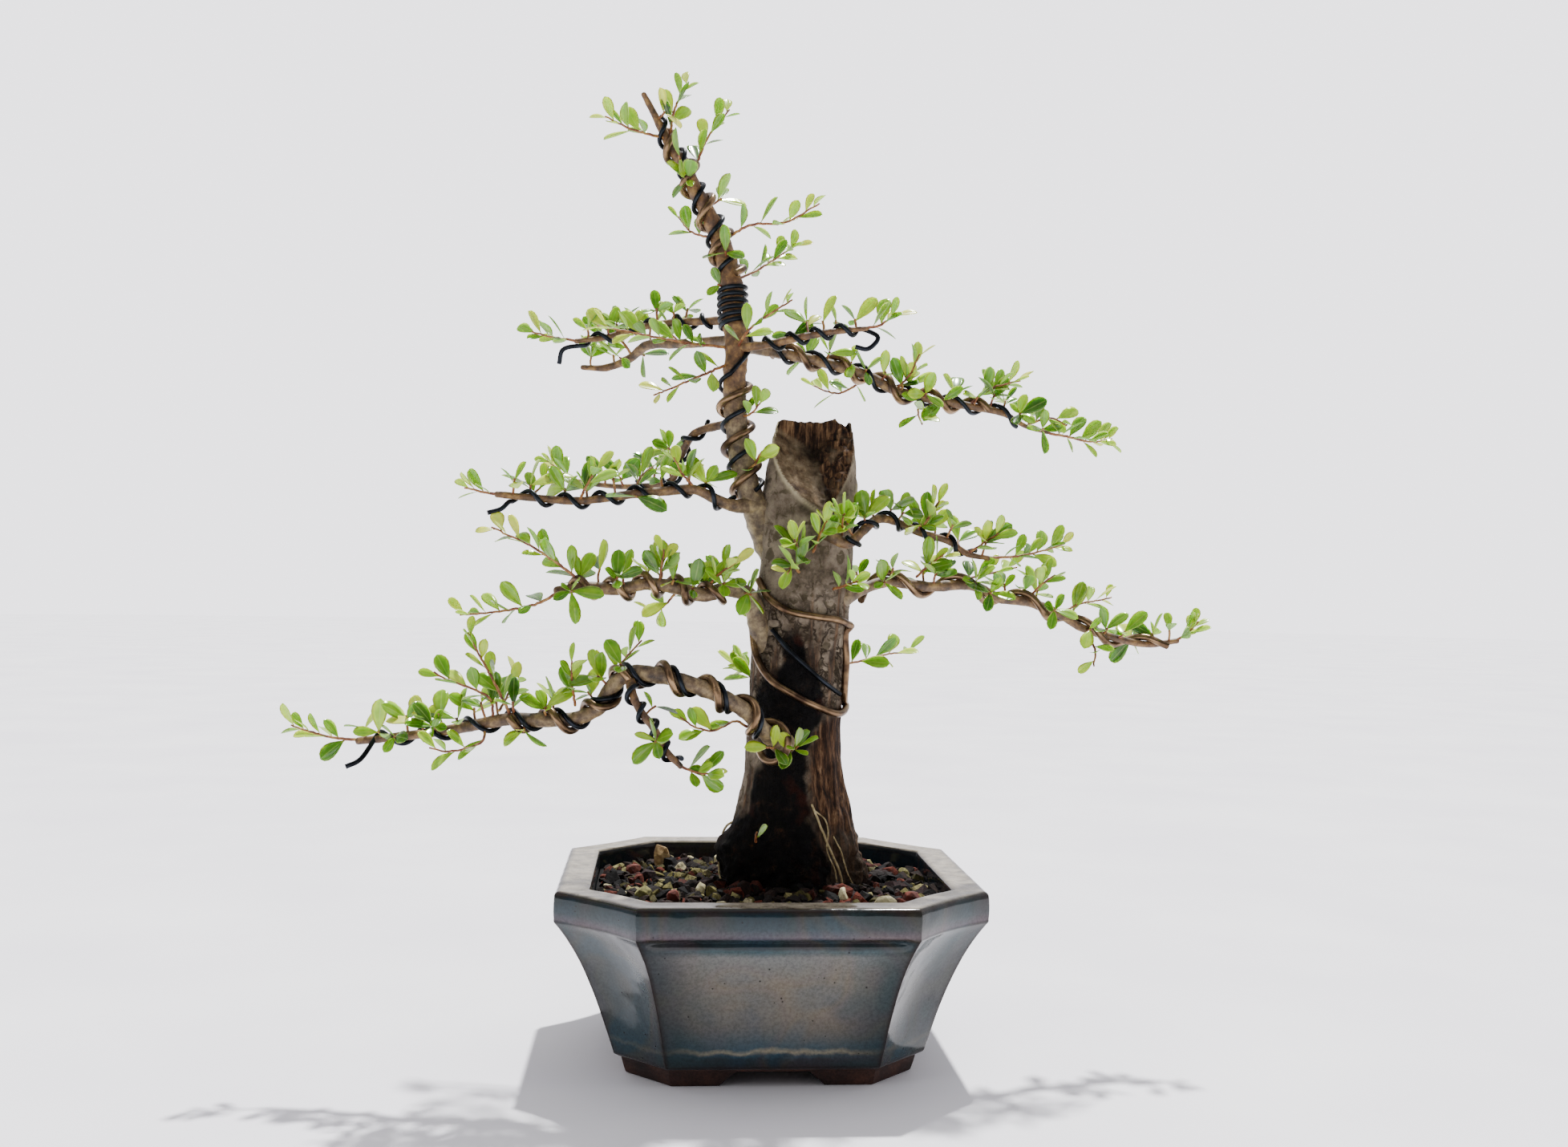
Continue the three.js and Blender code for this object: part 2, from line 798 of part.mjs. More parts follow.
function trunkLoft(extra) {
  const rings = TRUNK.map(([z]) =>
    Array.from({ length: TRUNK_SIDES }, (_, i) => trunkPoint(z, (2 * Math.PI * i) / TRUNK_SIDES, extra)),
  );
  rings[0].forEach((point) => (point.z -= extra));
  rings.at(-1).forEach((point) => (point.z += extra));
  return loft(rings);
}

function makeTrunk() {
  return carve(trunkLoft(0), [solid(new ConvexGeometry(NOTCH.map(treePoint)))]);
}

// A branch's smooth middle line, with its radius and cross directions at evenly spaced shares.
function limbLine(path) {
  const points = path.map(treePoint);
  const curve = new THREE.CatmullRomCurve3(points, false, "centripetal");
  const reach = points.map((point, i) => (i ? point.distanceTo(points[i - 1]) : 0));
  const total = reach.reduce((sum, step) => sum + step, 0);
  let run = 0;
  const radii = path.map(([, , , radius], i) => {
    run += reach[i];
    return [run / total, radius * GROWTH];
  });
  const samples = Math.max(8, Math.round(curve.getLength() / 2));
  const frames = curve.computeFrenetFrames(samples, false);
  return { curve, frames, samples, length: curve.getLength(), radius: (share) => along(radii, share) };
}

// A point at a share along a branch, a turn about it and a distance from its middle line.
function limbPoint(line, share, angle, distance) {
  const index = THREE.MathUtils.clamp(Math.round(share * line.samples), 0, line.samples);
  return line.curve
    .getPointAt(THREE.MathUtils.clamp(share, 0, 1))
    .addScaledVector(line.frames.normals[index], Math.cos(angle) * distance)
    .addScaledVector(line.frames.binormals[index], Math.sin(angle) * distance);
}

// A branch's solid, or with extra the space that its neighbours keep clear of.
function limbLoft(line, extra) {
  const steps = Math.max(4, Math.round(line.length / RING_SPACING));
  const sides = line.radius(0) > STOUT_LIMB ? 8 : 6;
  const rings = Array.from({ length: steps + 1 }, (_, step) => {
    const share = step / steps;
    return Array.from({ length: sides }, (_, i) =>
      limbPoint(line, share, (2 * Math.PI * i) / sides, line.radius(share) + extra),
    );
  });
  const [start, end] = [line.frames.tangents[0], line.frames.tangents.at(-1)];
  rings[0].forEach((point) => point.addScaledVector(start, -extra));
  rings.at(-1).forEach((point) => point.addScaledVector(end, extra));
  return loft(rings);
}

// ---------------------------------------------------------------- wires

// A line through points that an extrusion follows corner by corner.
class Polyline extends THREE.Curve {
  constructor(points) {
    super();
    this.points = points;
  }

  getPoint(share, target = new THREE.Vector3()) {
    const place = share * (this.points.length - 1);
    const index = Math.min(Math.floor(place + 1e-6), this.points.length - 2);
    return target.lerpVectors(this.points[index], this.points[index + 1], place - index);
  }

  getPointAt(share, target) {
    return this.getPoint(share, target);
  }

  getTangentAt(share, target = new THREE.Vector3()) {
    const index = Math.round(share * (this.points.length - 1));
    const before = this.points[Math.max(index - 1, 0)];
    const after = this.points[Math.min(index + 1, this.points.length - 1)];
    return target.subVectors(after, before).normalize();
  }
}

function wireSolid(points, radius, sides) {
  const corners = Array.from({ length: sides }, (_, i) => {
    const angle = (2 * Math.PI * i) / sides;
    return new THREE.Vector2(radius * Math.cos(angle), radius * Math.sin(angle));
  });
  return solid(
    new THREE.ExtrudeGeometry(new THREE.Shape(corners), {
      steps: points.length - 1,
      extrudePath: new Polyline(points),
      bevelEnabled: false,
    }),
  );
}

// The middle line of a wire wound on a branch, clear of the bark at the middle of each chord too.
function windingPoints(wire, line) {
  const turns = wire.windings.at(-1)[1];
  const count = Math.round(turns * WIRE_STEPS_PER_TURN);
  const shareAt = wire.windings.map(([share, turn]) => [turn, share]);
  return Array.from({ length: count + 1 }, (_, i) => {
    const turn = (turns * i) / count;
    const share = along(shareAt, turn);
    const distance = line.radius(share) + wire.diameter / 2 + CLEARANCE;
    const clear = distance / Math.cos(Math.PI / WIRE_STEPS_PER_TURN);
    return limbPoint(line, share, 2 * Math.PI * (turn + wire.phase), clear);
  });
}

function trunkWirePoints(wire) {
  const curve = new THREE.CatmullRomCurve3(
    wire.path.map(([turn, z]) => trunkPoint(z, 2 * Math.PI * turn, wire.diameter / 2 + 2 * CLEARANCE)),
  );
  return curve.getSpacedPoints(Math.round(curve.getLength() / TRUNK_WIRE_STEP));
}

// ---------------------------------------------------------------- leaves and shoots

// Half of a leaf's spoon-shaped outline: [share of length, share of width] from its stalk to its tip.
const LEAF_OUTLINE = [[0, 0.07], [0.4, 0.3], [0.78, 0.5], [1, 0]];
const LEAF_BULGE = 0.62; // share of length where the leaf is thickest
const LEAF_CUP = 0.07; // rise of the leaf's edges, as a share of length
const LEAF_DROOP = 0.1; // fall of its tip

// A leaf from a point, along a direction, with its upper face turned to face.
function leafSolid(from, direction, face, length, extra) {
  const forward = direction.clone().normalize();
  const across = new THREE.Vector3().crossVectors(face, forward).normalize();
  const normal = new THREE.Vector3().crossVectors(forward, across);
  const width = (LEAF_WIDTH * length) / LEAF_LENGTH + 2 * extra;
  const at = (share, side, lift) =>
    from
      .clone()
      .addScaledVector(forward, share * (length + 2 * extra) - extra)
      .addScaledVector(across, side * width)
      .addScaledVector(normal, lift);
  const rise = (share, side) => length * (LEAF_CUP * side * 2 - LEAF_DROOP * share ** 3);
  const right = LEAF_OUTLINE.map(([share, side]) => at(share, -side, rise(share, side)));
  const left = LEAF_OUTLINE.slice(0, -1).map(([share, side]) => at(share, side, rise(share, side)));
  const outline = [...right, ...left.reverse()];
  const bulge = LEAF_THICKNESS / 2 + extra;
  const points = [...outline, at(LEAF_BULGE, 0, bulge), at(LEAF_BULGE, 0, -bulge)];
  const [top, bottom] = [outline.length, outline.length + 1];
  const index = outline.flatMap((_, i) => {
    const j = (i + 1) % outline.length;
    return [top, i, j, bottom, j, i];
  });
  const geometry = new THREE.BufferGeometry().setFromPoints(points);
  geometry.setIndex(index);
  return solid(geometry);
}

const GOLDEN_ANGLE = Math.PI * (3 - Math.sqrt(5));
const STEM_SLIDES = [0, 2, -2, 4, -4, 6, -6, 8, -8];
const STEM_SIDES = 5;
const STEM_STEP = 9; // between its rings
const LEAF_TURNS = [0, 1.3, 2.6, 3.9]; // radians that a leaf may be turned further round
const CURVE_SAMPLES = 60;

// A shoot: a thin stem with leaves set round it in a golden-angle spiral, reaching up and outwards.
// Its foot slides along what it grows from, by the first of STEM_SLIDES that clears the wires there.
// A leaf that would touch another piece is turned further round, and left out if it still would.
function makeShoot(shoot, seed, source, obstacles) {
  const points = shoot.path.map(treePoint);
  for (const slide of STEM_SLIDES) {
    const seat = source.seat(points[0], slide);
    const shift = seat.clone().sub(source.seat(points[0], 0));
    const moved = [seat, ...points.slice(1).map((point) => point.clone().add(shift))];
    const stem = stemSolid(moved, source.grown);
    const lastTry = slide === STEM_SLIDES.at(-1);
    if (lastTry || !obstacles.some((other) => meets(stem, other))) {
      return leafOut(shoot, seed, moved, carve(stem, obstacles), [source.grown, ...obstacles]);
    }
  }
}

function stemSolid(points, parent) {
  const curve = new THREE.CatmullRomCurve3(points, false, "centripetal");
  const steps = Math.max(3, Math.round(curve.getLength() / STEM_STEP));
  const frames = curve.computeFrenetFrames(steps, false);
  const rings = Array.from({ length: steps + 1 }, (_, step) => {
    const centre = curve.getPointAt(step / steps);
    const radius = STEM_RADIUS * (1.15 - (0.4 * step) / steps);
    return Array.from({ length: STEM_SIDES }, (_, i) => {
      const angle = (2 * Math.PI * i) / STEM_SIDES;
      return centre
        .clone()
        .addScaledVector(frames.normals[step], radius * Math.cos(angle))
        .addScaledVector(frames.binormals[step], radius * Math.sin(angle));
    });
  });
  return carve(loft(rings), [parent]);
}

function leafOut(shoot, seed, points, stem, obstacles) {
  const curve = new THREE.CatmullRomCurve3(points, false, "centripetal");
  const frames = curve.computeFrenetFrames(CURVE_SAMPLES, false);
  const up = new THREE.Vector3(0, 0, 1);
  let whole = stem;
  for (let i = 0; i < shoot.leaves; i++) {
    const share = 0.25 + (0.74 * (i + 0.5)) / shoot.leaves;
    const sample = Math.round(share * CURVE_SAMPLES);
    const base = curve.getPointAt(share);
    const length = LEAF_LENGTH * (0.8 + 0.4 * jitter(i, seed));
    for (const turn of LEAF_TURNS) {
      const angle = GOLDEN_ANGLE * (i + seed) + turn;
      const out = new THREE.Vector3()
        .addScaledVector(frames.normals[sample], Math.cos(angle))
        .addScaledVector(frames.binormals[sample], Math.sin(angle));
      const direction = out
        .clone()
        .addScaledVector(frames.tangents[sample], 0.5 + 0.5 * share)
        .addScaledVector(up, 0.45);
      const face = up.clone().addScaledVector(out, -0.5).add(new THREE.Vector3(0, -0.35, 0));
      const room = leafSolid(base, direction, face, length, CLEARANCE);
      if (obstacles.some((other) => meets(room, other))) continue;
      whole = whole.add(leafSolid(base, direction, face, length, 0));
      break;
    }
  }
  return largest(whole);
}

// ---------------------------------------------------------------- stones

function makeStone({ at: [x, y], half }, seed, extra) {
  const ball = new THREE.IcosahedronGeometry(1, 1).deleteAttribute("normal").deleteAttribute("uv");
  const geometry = mergeVertices(ball);
  const position = geometry.getAttribute("position");
  for (let i = 0; i < position.count; i++) {
    const rough = 0.85 + 0.3 * jitter(i, seed);
    const sized = half.map((size, axis) => position.getComponent(i, axis) * (size * rough + extra));
    position.setXYZ(i, ...sized);
  }
  return solid(geometry.translate(x, y, SOIL_EDGE + half[2] * STONE_SHOWS));
}

// ---------------------------------------------------------------- assembly

const BARK = { color: "#85796a", roughness: 0.9 };
const TWIG = { color: "#6b5440", roughness: 0.85 };
const BROWN = { color: "#7a5236", roughness: 0.35, metalness: 0.8 };
const BLACK = { color: "#25282c", roughness: 0.4, metalness: 0.6 };
const LEAF = { color: "#6f9a2e", roughness: 0.35 };

const bonsai = new THREE.Group();
bonsai.name = "bonsai";

function addPiece(name, manifold, look) {
  const material = new THREE.MeshStandardMaterial({ metalness: 0, ...look });
  const mesh = new THREE.Mesh(geometryOf(manifold), material);
  mesh.name = name;
  bonsai.add(mesh);
  return manifold;
}

// Where a shoot that is drawn from a point sits on a branch, after a slide along it in millimetres.
function seatOnLimb(line) {
  const at = (offset) => line.curve.getPointAt(THREE.MathUtils.clamp(offset / line.length, 0, 0.999));
  return (point, slide) => {
    let nearest = 0;
    for (let offset = 0; offset <= line.length; offset++) {
      if (at(offset).distanceTo(point) < at(nearest).distanceTo(point)) nearest = offset;
    }
    return at(nearest + slide);
  };
}

function seatOnTrunk(point, slide) {
  return point.clone().setZ(point.z + slide);
}

const trunkGrown = trunkLoft(CLEARANCE);
addPiece("trunk", makeTrunk(), BARK);

const grownLimbs = {};
const sources = { trunk: { seat: seatOnTrunk, grown: trunkGrown } };
for (const [name, path] of Object.entries(LIMBS)) {
  const line = limbLine(path);
  const earlier = [trunkGrown, ...Object.values(grownLimbs)];
  addPiece(name, carve(limbLoft(line, 0), earlier), name === "leader" ? BARK : TWIG);
  grownLimbs[name] = limbLoft(line, CLEARANCE);
  sources[name] = { line, seat: seatOnLimb(line), grown: grownLimbs[name] };
}

const grownWires = [];
function addWire(wire, points) {
  const cuts = [trunkGrown, ...Object.values(grownLimbs), ...grownWires];
  const brown = wire.diameter === BROWN_WIRE;
  const sides = brown ? BROWN_WIRE_SIDES : BLACK_WIRE_SIDES;
  addPiece(wire.name, carve(wireSolid(points, wire.diameter / 2, sides), cuts), brown ? BROWN : BLACK);
  grownWires.push(wireSolid(points, wire.diameter / 2 + CLEARANCE, sides));
}
BRANCH_WIRES.forEach((wire) => addWire(wire, windingPoints(wire, sources[wire.limb].line)));
TRUNK_WIRES.forEach((wire) => addWire(wire, trunkWirePoints(wire)));

const grownShoots = [];
SHOOTS.forEach((shoot, seed) => {
  const obstacles = [trunkGrown, ...Object.values(grownLimbs), ...grownWires, ...grownShoots];
  const source = sources[shoot.from];
  const others = obstacles.filter((other) => other !== source.grown);
  grownShoots.push(addPiece(shoot.name, makeShoot(shoot, seed + 1, source, others), LEAF));
});

const stoneRoom = STONES.map((stone, i) => {
  addPiece(stone.name, makeStone(stone, i + 1, 0), { color: stone.colour, roughness: 0.95 });
  return makeStone(stone, i + 1, CLEARANCE);
});
addPiece("soil", makeSoil([trunkGrown, ...stoneRoom]), { color: "#3a2a22", roughness: 1 });
addPiece("drain_mesh_left", makeDrainMesh(-DRAIN_OFFSET), { color: "#1d1f1e", roughness: 0.6 });
addPiece("drain_mesh_right", makeDrainMesh(DRAIN_OFFSET), { color: "#1d1f1e", roughness: 0.6 });
addPiece("pot", makePot(), { color: "#5d7078", roughness: 0.2 });

export default bonsai;
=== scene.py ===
"""A bonsai tree in a glazed pot: the looks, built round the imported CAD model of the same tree.

Sizes in the tables are millimetres in the frame of the CAD model: the origin is the centre of the
pot's foot, +Z is up, +X to the right and +Y to the back. Every mesh is made in metres.
"""

import json
import math

import bmesh
import bpy
import numpy as np
from mathutils import Matrix, Vector

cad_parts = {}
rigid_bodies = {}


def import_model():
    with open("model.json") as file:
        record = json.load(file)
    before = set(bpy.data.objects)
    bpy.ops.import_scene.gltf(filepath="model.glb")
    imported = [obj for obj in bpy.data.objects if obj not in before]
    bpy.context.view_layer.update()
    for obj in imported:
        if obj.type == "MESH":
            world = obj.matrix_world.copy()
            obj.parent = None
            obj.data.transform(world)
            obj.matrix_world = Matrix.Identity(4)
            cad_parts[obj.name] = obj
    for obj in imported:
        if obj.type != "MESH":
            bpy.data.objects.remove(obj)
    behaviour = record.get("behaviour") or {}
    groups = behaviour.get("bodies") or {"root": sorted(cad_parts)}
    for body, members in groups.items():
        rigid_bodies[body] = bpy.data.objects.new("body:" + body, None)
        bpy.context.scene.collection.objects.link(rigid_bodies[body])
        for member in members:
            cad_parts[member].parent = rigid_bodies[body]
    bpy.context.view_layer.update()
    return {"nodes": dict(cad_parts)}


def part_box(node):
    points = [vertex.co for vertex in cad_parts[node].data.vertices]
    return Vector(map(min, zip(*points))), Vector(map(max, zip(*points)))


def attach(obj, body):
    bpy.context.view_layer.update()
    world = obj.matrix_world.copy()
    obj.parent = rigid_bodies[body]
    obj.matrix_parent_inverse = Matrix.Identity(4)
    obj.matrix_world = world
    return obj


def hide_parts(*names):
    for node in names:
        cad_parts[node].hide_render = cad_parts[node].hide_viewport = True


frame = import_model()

bl_info = {
    "name": "Bonsai in a glazed pot",
    "version": (1, 0, 0),
    "blender": (4, 5, 0),
    "location": "View3D > Sidebar > Bonsai",
    "description": "Builds a wired bonsai tree, its gravel and its glazed pot round a packed CAD model",
    "category": "Object",
}

MM = 0.001
POT_HIGH = np.array(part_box("pot")[1]) / MM

# ---------------- sizes that the CAD model shares

RIM_HALF = POT_HIGH[:2]
POT_HEIGHT = POT_HIGH[2]
RIM_CHAMFER = 38
RIM_BAND = 14
BODY_HALF = np.array([72, 71])
BODY_CHAMFER = 24
WALL = 7
FOOT_HEIGHT = 9
FLOOR_TOP = 18
FOOT_INSET = 3
FOOT_TAPER = 2.5
FOOT_RING = 14
FOOT_GATE_HALF = 23
FOOT_GATE_SLANT = 5
RECESS_HEIGHT = 7
DRAIN_RADIUS = 9
DRAIN_OFFSET = 30
BAND_BOTTOM = POT_HEIGHT - RIM_BAND
RIM_LIP = 16
SOIL_EDGE = 77
SOIL_INSET = 16.4

# Trunk: [height, middle x, half-width].
TRUNK = np.array([
    [46, 15, 30], [60, 15, 37], [79, 14.5, 35], [95, 12.8, 31.6], [113, 12.3, 28.5], [130, 12.3, 25],
    [147, 12, 23], [176, 13, 23], [200, 14.7, 23.6], [239, 17.2, 22.8], [263, 17.7, 23.2],
    [288, 19.2, 21.4], [308, 20.7, 18.5],
])
TRUNK_DEPTH = 0.9

# The notch in the trunk's sawn top: two slanted faces that meet in a valley, before an upright back wall.
NOTCH = {
    "valley_back": (19.4, 3, 293), "valley_front": (27, -24, 257.5),
    "left_back": (-6, 3, 308.2), "left_front": (-6, -24, 277.3),
    "right_back": (46, 3, 311.2), "right_front": (46, -24, 270.3),
    "top_left_back": (-6, 3, 325), "top_left_front": (-6, -24, 325),
    "top_right_back": (46, 3, 325), "top_right_front": (46, -24, 325),
}

# Fine roots on the trunk's base: radius and [turn about the trunk, height, distance from the bark].
ROOTS = [
    (0.55, [
        [-0.205, 121, 0.3], [-0.187, 112, 1.2], [-0.172, 104, 1], [-0.15, 95, 0.8], [-0.14, 86, 1],
        [-0.13, 78, 0],
    ]),
    (0.35, [
        [-0.195, 118, 0.2], [-0.17, 114, 1.4], [-0.163, 108, 1.2], [-0.17, 100, 0.6], [-0.155, 88, 1],
        [-0.16, 79, 0],
    ]),
    (0.35, [[-0.14, 105, 0], [-0.125, 98, 1], [-0.12, 90, 1.2], [-0.1, 80, 0]]),
    (0.6, [[-0.46, 110, 0], [-0.49, 106, 3.5], [-0.51, 99, 4.5], [-0.49, 93, 3], [-0.46, 90, 0]]),
    (0.5, [[-0.43, 104, 0.3], [-0.46, 100, 3], [-0.47, 92, 4], [-0.45, 84, 2.5], [-0.43, 79, 0]]),
    (0.7, [[0.2, 108, 0], [0.22, 99, 1.2], [0.2, 90, 1.6], [0.23, 79, 0]]),
    (0.6, [[0.05, 102, 0], [0.03, 94, 1.5], [0.05, 80, 0]]),
]

# Bigger stones that lie on the gravel: middle, size and rock.
LOOSE_STONES = [
    ((34, -40, 80.5), 8, "cream"), ((7, -60, 79), 8, "olive"), ((38, -62, 79), 9, "olive"),
    ((24, -58, 79), 7, "red"), ((66, -44, 79.5), 9, "red"), ((59, -50, 79), 7, "red"),
    ((-24, -62, 78.5), 8, "cream"), ((-60, -30, 79), 9, "olive"), ((-46, -38, 79.5), 7, "red"),
    ((-33, -26, 80.5), 7, "cream"), ((72, 20, 79), 8, "olive"), ((50, 54, 79), 9, "red"),
    ((-20, 58, 79.5), 8, "cream"), ((-66, 34, 79), 8, "red"),
]

# Leader and branches: [x, y, z, radius], from inside what each grows from.
LIMBS = {
    "leader": [
        [8, 0, 234, 8], [-2, -2, 250, 7.2], [-9, -4, 265, 6.2], [-16, -4, 289, 5.6], [-19, -4, 309, 5.6],
        [-20, -4, 327, 5.8], [-19, -2, 345, 5.8], [-21, 0, 361, 5.5], [-22, 2, 378, 5.2], [-27, 4, 395, 4.8],
        [-34, 4, 411, 4.2], [-41, 4, 423, 3.7], [-46, 4, 435, 3.2], [-53, 4, 443, 2.7], [-58, 4, 453, 2.1],
        [-67, 0, 468, 1.3],
    ],
    "upper_left_branch": [
        [-20, 0, 357, 2.4], [-26, 10, 359, 2], [-38, 20, 360, 2], [-51, 25, 360, 1.9], [-67, 25, 357, 1.7],
        [-84, 22, 351, 1.5], [-99, 19, 348, 1.3],
    ],
    "upper_left_rear_branch": [
        [-19, 0, 347, 3], [-26, 11, 349, 2.6], [-46, 30, 350, 2.5], [-64, 45, 351, 2.5], [-74, 56, 345, 2.3],
        [-86, 61, 341, 1.8], [-98, 62, 341, 1.3],
    ],
    "upper_right_front_branch": [
        [-19, -1, 344, 2.4], [-12, -11, 343, 2], [-3, -15, 344, 1.9], [11, -18, 347, 1.8],
        [27, -20, 350, 1.6], [43, -20, 352, 1.2],
    ],
    "upper_right_branch": [
        [-19, 0, 346, 4.6], [-10, 10, 346, 4.1], [5, 14, 344, 3.7], [25, 18, 341, 3.7], [50, 22, 335, 3.8],
        [64, 22, 328, 3.7], [89, 22, 323, 3.4], [104, 24, 321, 3], [122, 26, 318, 2.4], [134, 28, 312, 1.7],
        [146, 29, 309, 1.4],
    ],
    "middle_left_branch": [
        [4, -1, 262, 4.6], [-7, -6, 265, 4], [-21, -11, 265, 2.9], [-39, -16, 272, 2.4], [-51, -18, 271, 2.3],
        [-68, -20, 269, 2.1], [-94, -22, 265, 1.9], [-117, -24, 266, 1.7], [-132, -26, 267, 1.5],
    ],
    "middle_left_rear_branch": [
        [-19, -3, 306, 2.6], [-26, 7, 306, 2.1], [-39, 14, 302, 2], [-46, 24, 290, 1.9], [-50, 35, 280, 1.7],
        [-70, 48, 277, 1.5], [-88, 54, 278, 1.3], [-101, 58, 280, 1.1],
    ],
    "middle_right_branch": [
        [22, -8, 255, 4], [27, -21, 251, 3.2], [35, -23, 247, 2.8], [44, -16, 254, 2.8], [52, -8, 260, 2.7],
        [62, -2, 259, 2.4], [75, 2, 254, 2.4], [90, 4, 250, 2], [100, 6, 244, 1.9], [111, 7, 242, 1.5],
    ],
    "long_right_branch": [
        [22, -4, 214, 5.6], [35, -7, 220, 4.8], [45, -4, 225, 4], [58, 0, 229, 3.7], [80, 4, 227, 3.7],
        [103, 8, 228, 3.7], [117, 10, 222, 3.7], [133, 12, 220, 3.4], [150, 14, 214, 3.2], [163, 16, 207, 3],
        [181, 18, 202, 2.6], [199, 20, 199, 2.4], [214, 20, 201, 1.9],
    ],
    "left_branch": [
        [4, -6, 184, 7.5], [-5, -10, 204, 6.4], [-12, -15, 221, 5], [-23, -22, 224, 4.3],
        [-33, -26, 221, 3.9], [-46, -28, 224, 3.8], [-60, -30, 226, 3.5], [-75, -32, 223, 3.4],
        [-88, -34, 224, 3], [-102, -36, 222, 2.4],
    ],
    "low_left_branch": [
        [9, -10, 149, 6.4], [3, -27, 151, 4.8], [-4, -38, 157, 4.3], [-14, -45, 167.5, 4.2],
        [-29, -50, 176, 4.1], [-43, -50, 181, 4.1], [-56, -48, 184, 4.4], [-68, -44, 184, 4.2],
        [-76, -42, 178, 4.1], [-82, -40, 168, 3.9], [-92, -40, 163, 3.8], [-104, -40, 162, 3.8],
        [-122, -38, 162, 3.4], [-134, -36, 160, 3.1], [-152, -32, 156, 2.7], [-178, -28, 152, 2.3],
        [-194, -26, 150, 2],
    ],
    "hanging_twig": [
        [-67, -44, 183, 2.2], [-67, -53, 178, 1.9], [-63, -58, 169, 1.8], [-56, -60, 160, 1.8],
        [-51, -62, 151, 1.7], [-44, -64, 144, 1.4],
    ],
}

# Share of the thickness above that a limb keeps past its foot, and how soon it has narrowed to it.
SLENDER = {
    "upper_right_branch": 0.68, "long_right_branch": 0.7, "middle_right_branch": 0.8, "left_branch": 0.85,
    "low_left_branch": 0.88,
}
SLENDER_FADE = 16

# Limbs that grow from the trunk, with a full collar.
FROM_TRUNK = ("leader", "middle_left_branch", "middle_right_branch", "long_right_branch", "left_branch",
              "low_left_branch")

BROWN, BLACK = "brown_wire", "black_wire"
WIRE_DIAMETER = {BROWN: 3.6, BLACK: 2.3}

# Wires on branches: limb, kind, phase in turns, windings [share along the limb, turns so far] and the
# points past its last winding where its free end sticks out.
BRANCH_WIRES = {
    "leader_black_wire": (
        "leader", BLACK, 0.05, [[0.17, 0], [0.4, 2.9], [0.5, 3.3], [0.58, 9.3], [0.95, 14.3]], [],
    ),
    "leader_brown_lower_wire": ("leader", BROWN, 0.6, [[0.17, 0], [0.39, 2.77]], []),
    "leader_brown_upper_wire": ("leader", BROWN, 0.04, [[0.6, 0], [0.93, 4.46]], []),
    "upper_left_wire": (
        "upper_left_branch", BLACK, 0, [[0.2, 0], [0.96, 5]], [[-106, 22, 344], [-108, 24, 337]],
    ),
    "upper_right_front_wire": (
        "upper_right_front_branch", BLACK, 0.3, [[0.25, 0], [0.95, 4]],
        [[49, -20, 348], [44, -21, 342], [38, -20, 343]],
    ),
    "upper_right_brown_wire": ("upper_right_branch", BROWN, 0.2, [[0.14, 0], [0.8, 4.6]], []),
    "upper_right_black_wire": ("upper_right_branch", BLACK, 0.7, [[0.14, 0], [0.91, 5.4]], []),
    "middle_left_wire": (
        "middle_left_branch", BLACK, 0.5, [[0.18, 0], [0.96, 6.5]], [[-130, -29, 260], [-136, -31, 258]],
    ),
    "middle_left_rear_wire": ("middle_left_rear_branch", BLACK, 0.5, [[0.16, 0], [0.7, 4]], []),
    "middle_right_wire": ("middle_right_branch", BLACK, 0.5, [[0.2, 0], [0.94, 5]], []),
    "long_right_wire": ("long_right_branch", BROWN, 0.3, [[0.12, 0], [0.97, 4.8]], []),
    "left_wire": ("left_branch", BROWN, 0.6, [[0.4, 0], [0.96, 5]], []),
    "low_left_brown_wire": ("low_left_branch", BROWN, 0.75, [[0.06, 0], [0.7, 7.4]], []),
    "low_left_black_wire": (
        "low_left_branch", BLACK, 0.4, [[0.1, 0], [0.96, 10]], [[-192, -34, 142], [-198, -36, 139]],
    ),
    "hanging_wire": ("hanging_twig", BLACK, 0.6, [[0.2, 0], [0.97, 4]], []),
}

# How far the first winding of a wire stands off its limb.
LOOSE_START = {"low_left_brown_wire": 4}

# Wires that cross the trunk: kind and [turn about the trunk, height], and any second run [x, y, z].
TRUNK_WIRES = {
    "trunk_upper_brown_wire": (
        BROWN, [[-0.43, 229], [-0.37, 220], [-0.3, 214], [-0.22, 211.5], [-0.14, 210], [-0.07, 207]],
    ),
    "trunk_lower_brown_wire": (
        BROWN,
        [[-0.44, 206], [-0.4, 192], [-0.34, 181], [-0.27, 174], [-0.19, 168], [-0.1, 164], [0, 167],
         [0.08, 172]],
    ),
    "trunk_black_wire": (BLACK, [[-0.35, 205], [-0.29, 195], [-0.23, 187], [-0.16, 179], [-0.09, 173.5]]),
}

# Where a wire leaves the trunk's face and runs on beside it.
TRUNK_WIRE_ENDS = {"trunk_upper_brown_wire": [[37, -9, 204], [37.5, -8, 190], [37, -7, 174], [38, 0, 168]]}

